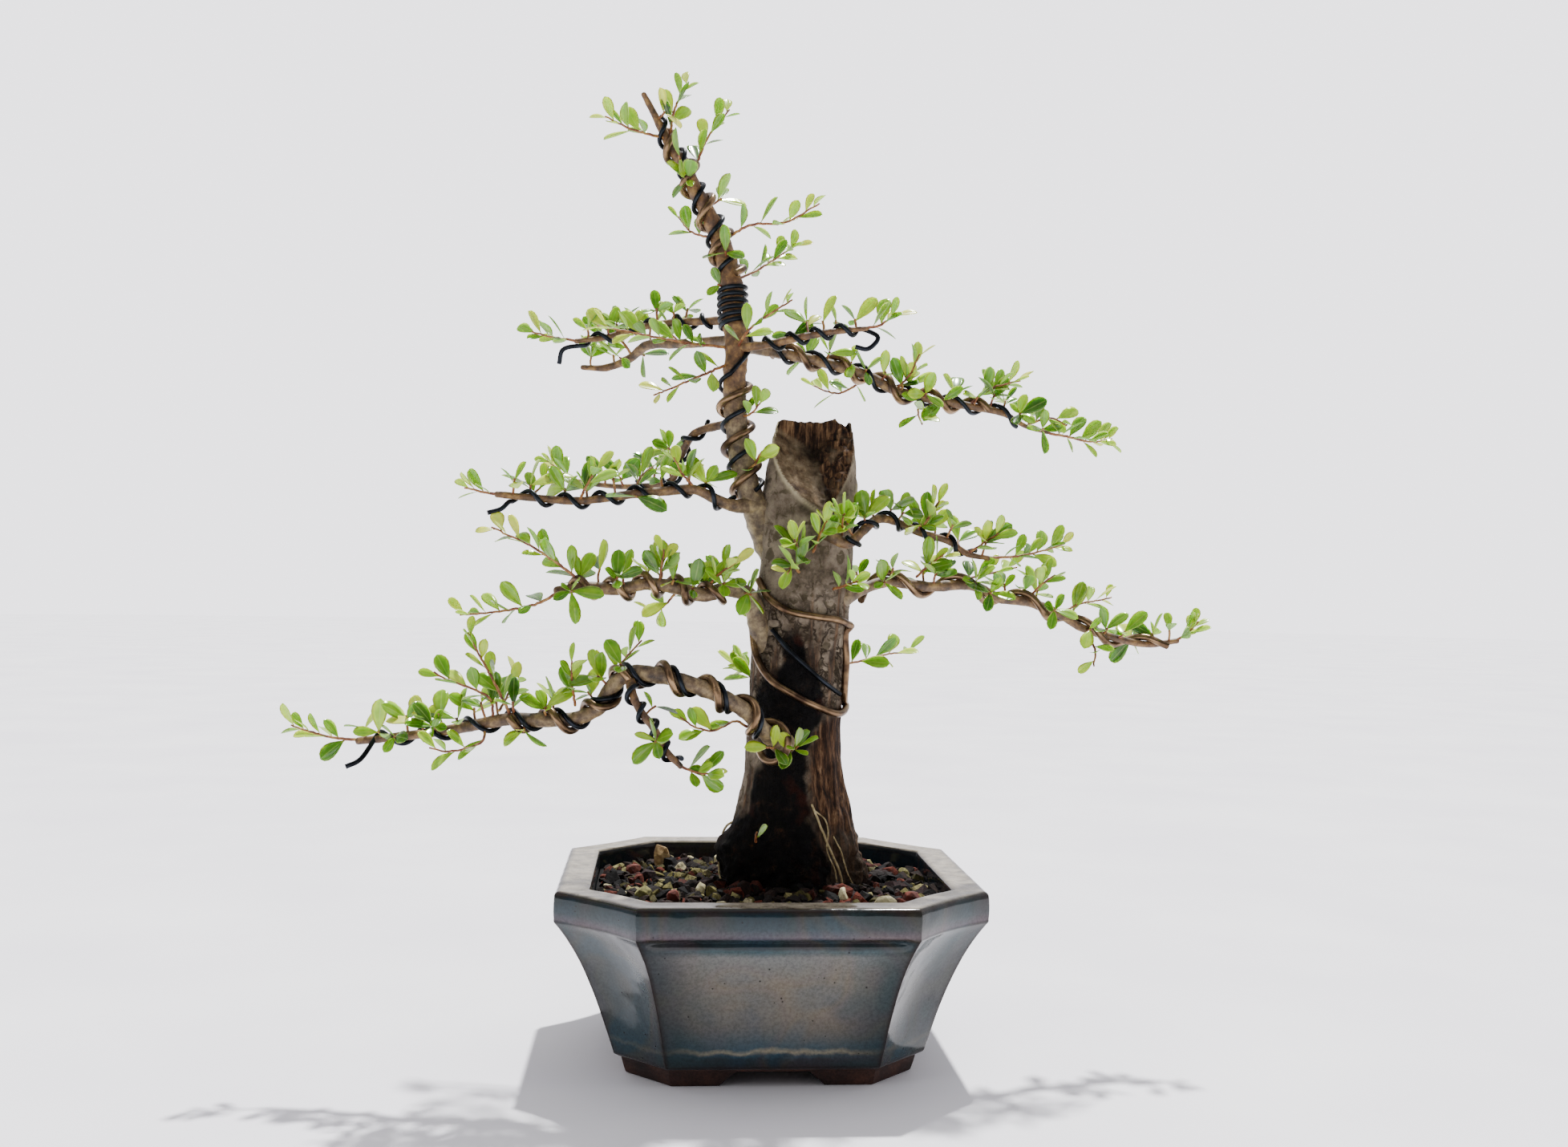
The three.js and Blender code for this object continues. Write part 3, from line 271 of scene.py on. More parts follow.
# Leafy shoots that are CAD nodes: number of leaves and the stem's points.
SHOOTS = {
    "apex_left_shoot": (9, [[-57, 3, 448], [-73, -6, 449], [-85, -14, 452]]),
    "apex_top_shoot": (8, [[-54, 3, 444], [-52, 4, 462], [-45, 8, 478]]),
    "apex_right_shoot": (9, [[-43, 4, 429], [-34, 12, 453], [-24, 18, 468]]),
    "leader_upper_right_shoot": (9, [[-28, 4, 397], [-13, -6, 404], [3, -13, 404], [19, -20, 412]]),
    "leader_lower_right_shoot": (13, [[-22, 2, 377], [-8, 12, 386], [12, 24, 402]]),
    "upper_front_left_shoot": (17, [[-21, 0, 344], [-42, -15, 343], [-66, -26, 345], [-86, -34, 347]]),
    "upper_front_low_shoot": (10, [[-20, -2, 337], [-42, -23, 324], [-59, -34, 315]]),
    "upper_front_right_shoot": (9, [[-20, -1, 342], [-13, -26, 350], [5, -40, 361]]),
    "upper_left_tip_shoot": (8, [[-98, 19, 348], [-110, 16, 349], [-121, 13, 351]]),
    "upper_left_rear_shoot": (10, [[-72, 53, 347], [-78, 50, 354], [-92, 52, 357]]),
    "upper_right_front_tip_shoot": (7, [[42, -20, 352], [50, -20, 354], [58, -19, 360]]),
    "upper_right_outer_shoot": (10, [[102, 24, 321], [114, 20, 330], [128, 16, 334]]),
    "upper_right_tip_shoot": (17, [[145, 29, 309], [158, 30, 307], [171, 32, 305], [182, 34, 307]]),
    "middle_left_tip_shoot": (5, [[-131, -26, 267], [-139, -27, 268], [-147, -28, 270]]),
    "middle_left_rear_tip_shoot": (8, [[-100, 58, 280], [-108, 60, 284], [-116, 62, 291]]),
    "middle_right_upright_shoot": (7, [[75, 2, 254], [79, -5, 263], [82, -11, 269]]),
    "middle_right_tip_shoot": (14, [[110, 7, 242], [130, 8, 244], [151, 10, 250]]),
    "long_right_tip_shoot": (8, [[213, 20, 201], [219, 18, 205], [224, 16, 211]]),
    "left_upper_shoot": (13, [[-88, -34, 224], [-112, -38, 241], [-133, -38, 251]]),
    "left_tip_shoot": (11, [[-101, -36, 222], [-111, -36, 216], [-128, -36, 212], [-147, -36, 210]]),
    "low_left_upright_shoot": (9, [[-122, -38, 162], [-130, -46, 180], [-141, -54, 202]]),
    "low_left_tip_shoot": (10, [[-193, -26, 150], [-209, -26, 152], [-225, -28, 157]]),
    "trunk_front_shoot": (9, [[13, -10, 238], [11, -30, 244], [8, -40, 248]]),
}

# Smaller sprigs on the limbs: number of leaves and the stem's points.
SPRIGS = {
    "leader": [
        (5, [[-33, 6, 400], [-42, 14, 404], [-49, 20, 413]]),
        (4, [[-17, -4, 281], [-10, -12, 285], [-7, -18, 290]]),
        (5, [[-19, -4, 309], [-12, -12, 310], [-7, -16, 316]]),
    ],
    "upper_right_branch": [
        (6, [[64, 22, 328], [71, 14, 336], [74, 8, 345]]),
        (7, [[51, 22, 335], [36, 32, 327], [23, 40, 332]]),
        (6, [[77, 22, 327], [75, 14, 316], [76, 8, 309]]),
        (4, [[134, 28, 312], [146, 23, 316], [154, 20, 312]]),
    ],
    "middle_left_branch": [
        (5, [[-39, -16, 273], [-45, -24, 279], [-49, -30, 286]]),
        (6, [[-68, -20, 269], [-65, -12, 278], [-59, -4, 284]]),
        (6, [[-94, -22, 265], [-89, -30, 274], [-85, -36, 279]]),
        (4, [[-117, -24, 266], [-113, -18, 271], [-111, -14, 275]]),
    ],
    "middle_right_branch": [
        (5, [[100, 6, 244], [108, 0, 250], [113, -6, 254]]),
    ],
    "long_right_branch": [
        (6, [[74, 4, 232], [79, -4, 238], [85, -10, 243]]),
        (8, [[94, 6, 230], [112, 14, 234], [129, 20, 238]]),
        (6, [[133, 12, 222], [138, 4, 229], [143, -2, 234]]),
        (7, [[150, 14, 214], [162, 22, 219], [182, 30, 223]]),
        (3, [[167, 16, 202], [168, 10, 195], [166, 6, 188]]),
    ],
    "left_branch": [
        (6, [[-55, -30, 226], [-54, -34, 235], [-53, -36, 242]]),
        (6, [[-33, -26, 224], [-26, -34, 232], [-20, -40, 236]]),
        (5, [[-46, -28, 224], [-52, -20, 216], [-58, -14, 212]]),
    ],
    "low_left_branch": [
        (7, [[-131, -36, 161], [-132, -44, 172], [-151, -50, 181], [-156, -52, 184]]),
        (6, [[-128, -38, 166], [-125, -28, 173], [-122, -20, 181]]),
        (6, [[-135, -36, 159], [-135, -44, 152], [-149, -50, 148], [-157, -54, 150]]),
        (6, [[-93, -40, 169], [-94, -50, 180], [-94, -56, 190]]),
        (6, [[-77, -42, 182], [-70, -34, 191], [-63, -28, 199]]),
    ],
    "hanging_twig": [
        (9, [[-44, -64, 144], [-36, -66, 141], [-29, -68, 141]]),
    ],
    "trunk": [
        (7, [[-12, -20, 158], [-18, -26, 161], [-28, -32, 157], [-37, -36, 159], [-46, -40, 165]]),
        (1, [[-7, -29, 104], [-7, -31, 106], [-7, -32.5, 109]]),
        (16, [[-5, 14, 178], [-10, 24, 181], [-16, 30, 185]]),
        (9, [[34, 14, 186], [48, 24, 188], [61, 32, 191], [79, 40, 193]]),
        (7, [[9, -22, 147], [10, -36, 149], [11, -44, 151]]),
        (3, [[2, -26, 149], [-1, -42, 150], [-4, -47, 151]]),
        (7, [[12, -22, 233], [8, -34, 236], [5, -43, 232]]),
        (6, [[19, -21, 243], [21, -33, 251], [23, -42, 257]]),
        (8, [[33, -20, 251], [32, -30, 258], [32, -36, 261]]),
        (7, [[29, -22, 225], [34, -34, 227], [38, -44, 229]]),
    ],
}

# Spurs with a few leaves each: for each limb, (from share, to share, millimetres between spurs).
SPURS = {
    "leader": [(0.55, 0.98, 15)],
    "upper_left_branch": [(0.3, 1, 8)],
    "upper_left_rear_branch": [(0.35, 1, 9)],
    "upper_right_front_branch": [(0.4, 1, 7)],
    "upper_right_branch": [(0.2, 0.5, 10), (0.5, 1, 7)],
    "middle_left_branch": [(0.25, 1, 10)],
    "middle_left_rear_branch": [(0.3, 1, 9)],
    "middle_right_branch": [(0.2, 1, 8)],
    "long_right_branch": [(0.12, 0.35, 7), (0.4, 1, 8.5)],
    "left_branch": [(0.25, 1, 6.5)],
    "low_left_branch": [(0.42, 0.55, 9), (0.6, 1, 6)],
    "hanging_twig": [(0.3, 0.9, 12)],
}

# ---------------- curves and skins, in millimetres

CURVE_STEP = 1.2
# A tube's rounded end: width and reach, as shares of its radius.
DOME = [(0.95, 0.45), (0.8, 0.75), (0.4, 1.0)]


def unit(vectors):
    """Vectors at length 1."""
    vectors = np.asarray(vectors, float)
    return vectors / np.maximum(np.linalg.norm(vectors, axis=-1, keepdims=True), 1e-12)


def ease(low, high, x):
    """0 below low, 1 above high, and a smooth step between them."""
    t = np.clip((np.asarray(x, float) - low) / (high - low), 0, 1)
    return t * t * (3 - 2 * t)


def bell(x, width):
    return np.exp(-((np.asarray(x, float) / width) ** 2))


def rough(points, size, seed=0):
    """Smooth noise from -1 to 1 with lumps of about size millimetres."""
    place = np.asarray(points, float) / size + 17.3 * seed + 1000
    cell = np.floor(place).astype(np.int64)
    part = place - cell
    part = part * part * (3 - 2 * part)
    total = np.zeros(len(place))
    for corner in np.ndindex(2, 2, 2):
        x, y, z = (cell + corner).T
        mixed = (x * 73856093) ^ (y * 19349663) ^ (z * 83492791)
        value = ((mixed * 2654435761) >> 9 & 0xFFFF) / 32767.5 - 1
        total += value * np.prod(np.where(corner, part, 1 - part), axis=1)
    return total


def smooth_line(points, spacing):
    """Evenly spaced places on the centripetal Catmull-Rom curve through points."""
    p = np.asarray(points, float)
    p = np.vstack([2 * p[0] - p[1], p, 2 * p[-1] - p[-2]])
    share = np.linspace(0, 1, 24, endpoint=False)[:, None]
    runs = []
    for a, b, c, d in zip(p, p[1:], p[2:], p[3:]):
        before, here, after = (math.sqrt(np.linalg.norm(step)) for step in (b - a, c - b, d - c))
        leave = ((b - a) / before - (c - a) / (before + here) + (c - b) / here) * here
        reach = ((c - b) / here - (d - b) / (here + after) + (d - c) / after) * here
        square, cube = 3 * (c - b) - 2 * leave - reach, 2 * (b - c) + leave + reach
        runs.append(b + leave * share + square * share**2 + cube * share**3)
    dense = np.vstack([*runs, p[-2:-1]])
    run = np.concatenate([[0], np.cumsum(np.linalg.norm(np.diff(dense, axis=0), axis=1))])
    at = np.linspace(0, run[-1], max(3, round(run[-1] / spacing)) + 1)
    return np.stack([np.interp(at, run, dense[:, axis]) for axis in range(3)], axis=1)


def frames_along(line):
    """Tangents, normals and binormals along a line, which turn about it as little as it allows."""
    tangents = unit(np.gradient(line, axis=0))
    least = np.eye(3)[np.argmin(np.abs(tangents[0]))]
    normal = np.cross(tangents[0], unit(np.cross(tangents[0], least)))
    normals = [normal]
    for before, after in zip(tangents, tangents[1:]):
        axis = np.cross(before, after)
        size = np.linalg.norm(axis)
        if size > 1e-9:
            turn = Matrix.Rotation(math.atan2(size, before @ after), 3, Vector(axis))
            normal = np.array(turn @ Vector(normal))
        normals.append(normal)
    normals = np.array(normals)
    return tangents, normals, np.cross(tangents, normals)


class Limb:
    """A limb's middle line, with its radius and cross directions at any share of its length."""

    def __init__(self, name):
        path = np.array(LIMBS[name], float)
        self.line = smooth_line(path[:, :3], CURVE_STEP)
        self.tangents, self.normals, self.binormals = frames_along(self.line)
        self.length = np.linalg.norm(np.diff(self.line, axis=0), axis=1).sum()
        chords = np.concatenate([[0], np.cumsum(np.linalg.norm(np.diff(path[:, :3], axis=0), axis=1))])
        share = np.linspace(0, 1, len(self.line))
        slender = SLENDER.get(name, 1)
        past_foot = 1 - np.exp(-share * self.length / SLENDER_FADE)
        self.radii = np.interp(share, chords / chords[-1], path[:, 3]) * (1 - (1 - slender) * past_foot)

    def sample(self, values, share):
        """What values, one for each point of the line, say at shares of its length."""
        place = np.clip(share, 0, 1) * (len(self.line) - 1)
        low = np.minimum(np.floor(place).astype(int), len(self.line) - 2)
        part = place - low
        if values.ndim > 1:
            part = np.asarray(part)[..., None]
        return values[low] * (1 - part) + values[low + 1] * part

    def outward(self, share, angle):
        """The direction away from the middle line at an angle about it."""
        cosine, sine = np.cos(angle)[..., None], np.sin(angle)[..., None]
        return unit(cosine * self.sample(self.normals, share) + sine * self.sample(self.binormals, share))


def skin(rings):
    """The points and faces of a closed skin over rings, levels x sides x 3, with a pole at each end."""
    levels, sides = rings.shape[:2]
    points = np.vstack([rings.reshape(-1, 3), rings[0].mean(axis=0), rings[-1].mean(axis=0)])
    here = np.arange(sides)
    beside = np.roll(here, -1)
    starts = np.arange(levels - 1)[:, None] * sides
    sheet = np.stack([starts + here, starts + beside, starts + sides + beside, starts + sides + here], axis=2)
    last, bottom = (levels - 1) * sides, levels * sides
    faces = sheet.reshape(-1, 4).tolist()
    faces += [[bottom, b, a] for a, b in zip(here.tolist(), beside.tolist())]
    faces += [[bottom + 1, last + a, last + b] for a, b in zip(here.tolist(), beside.tolist())]
    return points, faces


def tube(line, radii, sides):
    """The points and faces of a round tube along a line, with domed ends."""
    tangents, normals, binormals = frames_along(line)
    radii = np.broadcast_to(radii, len(line)).astype(float)
    line = np.vstack(
        [line[0] - tangents[0] * radii[0] * out for _, out in DOME[::-1]]
        + [line]
        + [line[-1] + tangents[-1] * radii[-1] * out for _, out in DOME],
    )
    radii = np.concatenate(
        [[radii[0] * size for size, _ in DOME[::-1]], radii, [radii[-1] * size for size, _ in DOME]],
    )
    normals = np.vstack([normals[:1]] * 3 + [normals] + [normals[-1:]] * 3)
    binormals = np.vstack([binormals[:1]] * 3 + [binormals] + [binormals[-1:]] * 3)
    angles = 2 * np.pi * np.arange(sides) / sides
    out = normals[:, None] * np.cos(angles)[:, None] + binormals[:, None] * np.sin(angles)[:, None]
    return skin(line[:, None] + radii[:, None, None] * out)


def gather(parts):
    """Several (points, faces) as one."""
    points, faces, count = [], [], 0
    for some_points, some_faces in parts:
        points.append(some_points)
        faces += [[count + corner for corner in face] for face in some_faces]
        count += len(some_points)
    return np.vstack(points), faces


# ---------------- pieces


def make_piece(name, points, faces, materials=(), edges=(), smooth=True, **fields):
    """A mesh object from points in millimetres; each field holds one number or vector a point."""
    mesh = bpy.data.meshes.new(name)
    mesh.from_pydata((np.asarray(points, float) * MM).tolist(), edges, faces)
    write_fields(mesh, fields)
    for material in materials:
        mesh.materials.append(material)
    if smooth and faces:
        mesh.shade_smooth()
    piece = bpy.data.objects.new(name, mesh)
    bpy.context.scene.collection.objects.link(piece)
    return piece


def write_fields(mesh, fields):
    """Writes point attributes from arrays of numbers or of vectors."""
    for key, values in fields.items():
        values = np.asarray(values)
        if values.ndim == 2:
            field = mesh.attributes.new(key, "FLOAT_VECTOR", "POINT")
            field.data.foreach_set("vector", values.astype(np.float32).ravel())
        elif values.dtype.kind == "i":
            mesh.attributes.new(key, "INT", "POINT").data.foreach_set("value", values.astype(np.int32))
        else:
            mesh.attributes.new(key, "FLOAT", "POINT").data.foreach_set("value", values.astype(np.float32))


def read_points(mesh):
    """A mesh's points in millimetres and its point normals."""
    points = np.zeros(3 * len(mesh.vertices), np.float32)
    normals = points.copy()
    mesh.vertices.foreach_get("co", points)
    mesh.vertex_normals.foreach_get("vector", normals)
    return points.reshape(-1, 3).astype(float) / MM, normals.reshape(-1, 3).astype(float)


def move_points(mesh, points):
    mesh.vertices.foreach_set("co", (points * MM).astype(np.float32).ravel())
    mesh.update()


def settle(piece):
    """Gives a piece the mesh that its modifiers make, and removes them."""
    graph = bpy.context.evaluated_depsgraph_get()
    made = bpy.data.meshes.new_from_object(
        piece.evaluated_get(graph), preserve_all_data_layers=True, depsgraph=graph,
    )
    piece.modifiers.clear()
    spare, piece.data = piece.data, made
    made.name = piece.name
    bpy.data.meshes.remove(spare)
    return piece


def cut(piece, points, faces):
    """Takes a closed shape out of a piece."""
    tool = make_piece("cutter", points, faces)
    modifier = piece.modifiers.new("cut", "BOOLEAN")
    modifier.operation = "DIFFERENCE"
    modifier.solver = "EXACT"
    modifier.object = tool
    settle(piece)
    bpy.data.objects.remove(tool)


def place(piece, slot, *nodes):
    """Puts a finished piece on the one body and hides the CAD nodes that it stands for. Its finish, slot, is
    not used.
    """
    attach(piece, "root")
    if nodes:
        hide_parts(*nodes)


# ---------------- node trees


def linear(hex_colour, alpha=1.0):
    """An sRGB hex colour as linear numbers."""
    parts = [int(hex_colour[i : i + 2], 16) / 255 for i in (1, 3, 5)]
    return (*(c / 12.92 if c <= 0.04045 else ((c + 0.055) / 1.055) ** 2.4 for c in parts), alpha)


def connect(node, inputs):
    """Gives a node's sockets, by name or number, a value, a node's first output or a (node, output) pair."""
    links = node.id_data.links
    for key, value in inputs.items():
        if isinstance(value, bpy.types.Node):
            links.new(value.outputs[0], node.inputs[key])
        elif isinstance(value, tuple) and isinstance(value[0], bpy.types.Node):
            links.new(value[0].outputs[value[1]], node.inputs[key])
        else:
            node.inputs[key].default_value = value


def add(tree, kind, inputs=None, stops=None, **settings):
    """Adds a node with its inputs. settings are its properties, and stops a ramp's (place, hex colour)
    pairs."""
    node = tree.nodes.new(kind)
    for key, value in settings.items():
        setattr(node, key, value)
    if stops:
        elements = node.color_ramp.elements
        while len(elements) < len(stops):
            elements.new(0.5)
        for element, (at, colour) in zip(elements, stops):
            element.position, element.color = at, linear(colour)
    connect(node, inputs or {})
    return node


def new_material(name, **shader):
    """A material with a Principled shader whose sockets are set by name, _ standing for a space."""
    material = bpy.data.materials.new(name)
    material.use_nodes = True
    tree = material.node_tree
    principled = tree.nodes["Principled BSDF"]
    for key, value in shader.items():
        principled.inputs[key.replace("_", " ")].default_value = value
    return material, tree, principled


def new_geometry_tree(name, sockets):
    """A Geometry Nodes tree with a geometry in and out and the named inputs {name: (kind, default)}."""
    tree = bpy.data.node_groups.new(name, "GeometryNodeTree")
    tree.interface.new_socket("Geometry", in_out="INPUT", socket_type="NodeSocketGeometry")
    tree.interface.new_socket("Geometry", in_out="OUTPUT", socket_type="NodeSocketGeometry")
    for key, (kind, default) in sockets.items():
        socket = tree.interface.new_socket(key, in_out="INPUT", socket_type="NodeSocket" + kind)
        if default is not None:
            socket.default_value = default
    return tree, tree.nodes.new("NodeGroupInput"), tree.nodes.new("NodeGroupOutput")


def run_tree(piece, tree, **values):
    """Runs a Geometry Nodes tree on a piece with these inputs, _ standing for a space, and settles it."""
    modifier = piece.modifiers.new(tree.name, "NODES")
    modifier.node_group = tree
    names = {s.name: s.identifier for s in tree.interface.items_tree if s.in_out == "INPUT"}
    for key, value in values.items():
        modifier[names[key.replace("_", " ")]] = value
    return settle(piece)


# ---------------- materials


def object_place(tree):
    """The Object coordinates of what is shaded."""
    return add(tree, "ShaderNodeTexCoord"), "Object"


def make_glaze():
    """Reduction-fired stoneware glaze: a thick glossy glass, grey-beige in the middle of a panel,
    teal and blue where it pools at a corner, brown where it runs thin off an edge, with iron specks.
    The chamfers' darker teal is partly pooled glaze and partly painted shade. The groove under the
    band is painted near-black as painted shade, with a painted lavender highlight along the band's
    lower edge, and a faint oil-like rainbow sheen is painted into the colour."""
    material, tree, shader = new_material("stoneware_glaze", IOR=1.5, Specular_IOR_Level=0.25)
    where = object_place(tree)
    level, edge, side, top = (
        add(tree, "ShaderNodeAttribute", attribute_name=name) for name in ("level", "edge", "side", "top")
    )
    wander = add(
        tree, "ShaderNodeTexNoise", {"Vector": where, "Scale": 70.0, "Detail": 4.0, "Roughness": 0.6},
    )
    below_rim = add(tree, "ShaderNodeMapRange", {0: (level, "Fac"), 1: 0.0, 2: 1.0, 3: 0.1, 4: 0.0})
    wave = add(tree, "ShaderNodeMath", {0: wander, 1: below_rim, 2: (level, "Fac")}, operation="MULTIPLY_ADD")
    # The stops from 0.8 to 0.846 paint the groove under the band near-black, a painted shade, and the stop at
    # 0.858 is a painted lavender highlight along the band's lower edge.
    glaze_bands_and_painted_groove = add(
        tree, "ShaderNodeValToRGB", {0: wave},
        stops=[
            (0.12, "#15181a"), (0.2, "#1b282e"), (0.222, "#2a424f"), (0.24, "#8f8975"), (0.262, "#42545c"),
            (0.37, "#5c5c5a"), (0.6, "#686762"), (0.75, "#72726e"), (0.785, "#34474a"), (0.8, "#08110f"),
            (0.846, "#04090a"), (0.858, "#544b51"), (0.9, "#2d3739"), (0.95, "#0f1f1e"), (0.99, "#0d1815"),
            (1.004, "#1c110d"),
        ],
    )
    clouds = add(
        tree, "ShaderNodeTexNoise", {"Vector": where, "Scale": 32.0, "Detail": 4.0, "Roughness": 0.55},
    )
    body = add(tree, "ShaderNodeMapRange", {0: (level, "Fac"), 1: 0.24, 2: 0.4, 3: 0.0, 4: 0.6})
    low_body = add(tree, "ShaderNodeMapRange", {0: (level, "Fac"), 1: 0.6, 2: 0.76, 3: 1.0, 4: 0.0})
    cloudy = add(tree, "ShaderNodeMapRange", {0: clouds, 1: 0.4, 2: 0.6, 3: 0.0, 4: 1.0})
    in_body = add(tree, "ShaderNodeMath", {0: body, 1: low_body}, operation="MULTIPLY")
    beige = add(tree, "ShaderNodeMath", {0: in_body, 1: cloudy}, operation="MULTIPLY")
    warm = add(tree, "ShaderNodeMix", {0: beige, 6: (glaze_bands_and_painted_groove, 0), 7: linear("#7b7262")}, data_type="RGBA")
    blue = add(tree, "ShaderNodeTexNoise", {"Vector": where, "Scale": 20.0, "Detail": 2.0, "Distortion": 0.8})
    blue_share = add(tree, "ShaderNodeMapRange", {0: blue, 1: 0.54, 2: 0.76, 3: 0.0, 4: 0.2})
    cool = add(tree, "ShaderNodeMix", {0: blue_share, 6: (warm, 2), 7: linear("#3f555c")}, data_type="RGBA")
    # Teal glaze pooled near the corners; over the chamfers this darker teal is also a painted shade.
    pooled_glaze_and_painted_shade = add(
        tree, "ShaderNodeMix", {0: (side, "Fac"), 6: (cool, 2), 7: linear("#192d31")}, data_type="RGBA",
    )
    # A painted sheen: rainbow tints mixed faintly into the base colour stand in for the glaze's oil-like
    # iridescence.
    sheen = add(
        tree, "ShaderNodeTexNoise", {"Vector": where, "Scale": 26.0, "Detail": 1.0, "Distortion": 1.0},
    )
    painted_rainbow_sheen = add(
        tree, "ShaderNodeValToRGB", {0: sheen},
        stops=[(0.32, "#4a6c8c"), (0.42, "#5f6a6b"), (0.5, "#8f6a72"), (0.56, "#9a7c5c"), (0.66, "#4c6c88")],
    )
    with_painted_sheen = add(tree, "ShaderNodeMix", {0: 0.07, 6: (pooled_glaze_and_painted_shade, 2), 7: (painted_rainbow_sheen, 0)}, data_type="RGBA")
    sand = add(tree, "ShaderNodeTexNoise", {"Vector": where, "Scale": 700.0, "Detail": 3.0, "Roughness": 0.7})
    speckle = add(tree, "ShaderNodeValToRGB", {0: sand}, stops=[(0.35, "#a8a8a8"), (0.6, "#ffffff")])
    sandy = add(
        tree, "ShaderNodeMix", {0: 0.45, 6: (with_painted_sheen, 2), 7: (speckle, 0)},
        data_type="RGBA", blend_type="MULTIPLY",
    )
    streaks = add(
        tree, "ShaderNodeTexNoise", {"Vector": where, "Scale": 160.0, "Detail": 5.0, "Roughness": 0.7},
    )
    lip = add(
        tree, "ShaderNodeValToRGB", {0: streaks},
        stops=[(0.3, "#5f584c"), (0.5, "#8d8473"), (0.7, "#aca391")],
    )
    topped = add(tree, "ShaderNodeMix", {0: (top, "Fac"), 6: (sandy, 2), 7: (lip, 0)}, data_type="RGBA")
    worn = add(
        tree, "ShaderNodeMix", {0: (edge, "Fac"), 6: (topped, 2), 7: linear("#1f120d")}, data_type="RGBA",
    )
    specks = add(tree, "ShaderNodeTexVoronoi", {"Vector": where, "Scale": 260.0})
    speck = add(tree, "ShaderNodeMath", {0: (specks, "Distance"), 1: 0.12}, operation="LESS_THAN")
    sparse = add(tree, "ShaderNodeMath", {0: wander, 1: 0.56}, operation="GREATER_THAN")
    both = add(tree, "ShaderNodeMath", {0: speck, 1: sparse}, operation="MULTIPLY")
    soft = add(tree, "ShaderNodeMath", {0: both, 1: 0.75}, operation="MULTIPLY")
    final = add(tree, "ShaderNodeMix", {0: soft, 6: (worn, 2), 7: linear("#0f0e0d")}, data_type="RGBA")
    gloss = add(tree, "ShaderNodeMapRange", {0: sand, 1: 0.3, 2: 0.7, 3: 0.06, 4: 0.16})
    ripple = add(tree, "ShaderNodeTexNoise", {"Vector": where, "Scale": 80.0, "Detail": 1.0})
    bump = add(tree, "ShaderNodeBump", {"Height": ripple, "Strength": 0.25, "Distance": 0.0015})
    connect(shader, {"Base Color": (final, 2), "Roughness": gloss, "Normal": bump})
    return material


def make_clay():
    """Bare fired stoneware clay: matt, red-brown and sandy, smoked darker in patches."""
    material, tree, shader = new_material("bare_stoneware", Roughness=0.85)
    where = object_place(tree)
    sand = add(tree, "ShaderNodeTexNoise", {"Vector": where, "Scale": 900.0, "Detail": 4.0, "Roughness": 0.7})
    patches = add(tree, "ShaderNodeTexNoise", {"Vector": where, "Scale": 60.0, "Detail": 3.0})
    mixed = add(tree, "ShaderNodeMath", {0: sand, 1: 0.45, 2: patches}, operation="MULTIPLY_ADD")
    tint = add(
        tree, "ShaderNodeValToRGB", {0: mixed},
        stops=[(0.45, "#160b08"), (0.7, "#301a13"), (0.95, "#523224")],
    )
    bump = add(tree, "ShaderNodeBump", {"Height": sand, "Strength": 0.5, "Distance": 0.0006})
    connect(shader, {"Base Color": tint, "Normal": bump})
    return material


def make_grit():
    """Loose volcanic gravel: dull porous black and red lava, olive-yellow and cream pumice. The point
    attribute tint picks a grain's rock."""
    material, tree, shader = new_material("lava_and_pumice", Roughness=0.85, Specular_IOR_Level=0.2)
    where = object_place(tree)
    tint = add(tree, "ShaderNodeAttribute", attribute_name="tint")
    rock = add(
        tree, "ShaderNodeValToRGB", {0: (tint, "Fac")},
        stops=[
            (0.0, "#0e0b0a"), (0.24, "#1c120e"), (0.42, "#2a1b14"), (0.55, "#2f1d1d"), (0.64, "#4a1f15"),
            (0.73, "#652a1a"), (0.8, "#4b4523"), (0.87, "#6f6738"), (0.94, "#938a5a"), (0.98, "#b9ae88"),
        ],
    )
    rock.color_ramp.interpolation = "CONSTANT"
    pores = add(
        tree, "ShaderNodeTexNoise", {"Vector": where, "Scale": 620.0, "Detail": 4.0, "Roughness": 0.75},
    )
    shade = add(tree, "ShaderNodeValToRGB", {0: pores}, stops=[(0.34, "#4a4a4a"), (0.62, "#ffffff")])
    mixed = add(
        tree, "ShaderNodeMix", {0: 0.85, 6: (rock, 0), 7: (shade, 0)},
        data_type="RGBA", blend_type="MULTIPLY",
    )
    bump = add(tree, "ShaderNodeBump", {"Height": pores, "Strength": 0.8, "Distance": 0.0008})
    connect(shader, {"Base Color": (mixed, 2), "Normal": bump})
    return material


def make_net():
    """Moulded polypropylene net: black, slightly glossy and scuffed."""
    material, tree, shader = new_material("moulded_polypropylene", IOR=1.49)
    where = object_place(tree)
    scuff = add(tree, "ShaderNodeTexNoise", {"Vector": where, "Scale": 500.0, "Detail": 3.0})
    tint = add(tree, "ShaderNodeValToRGB", {0: scuff}, stops=[(0.35, "#121312"), (0.75, "#2b2c2a")])
    dull = add(tree, "ShaderNodeMapRange", {0: scuff, 1: 0.3, 2: 0.8, 3: 0.4, 4: 0.65})
    connect(shader, {"Base Color": tint, "Roughness": dull})
    return material


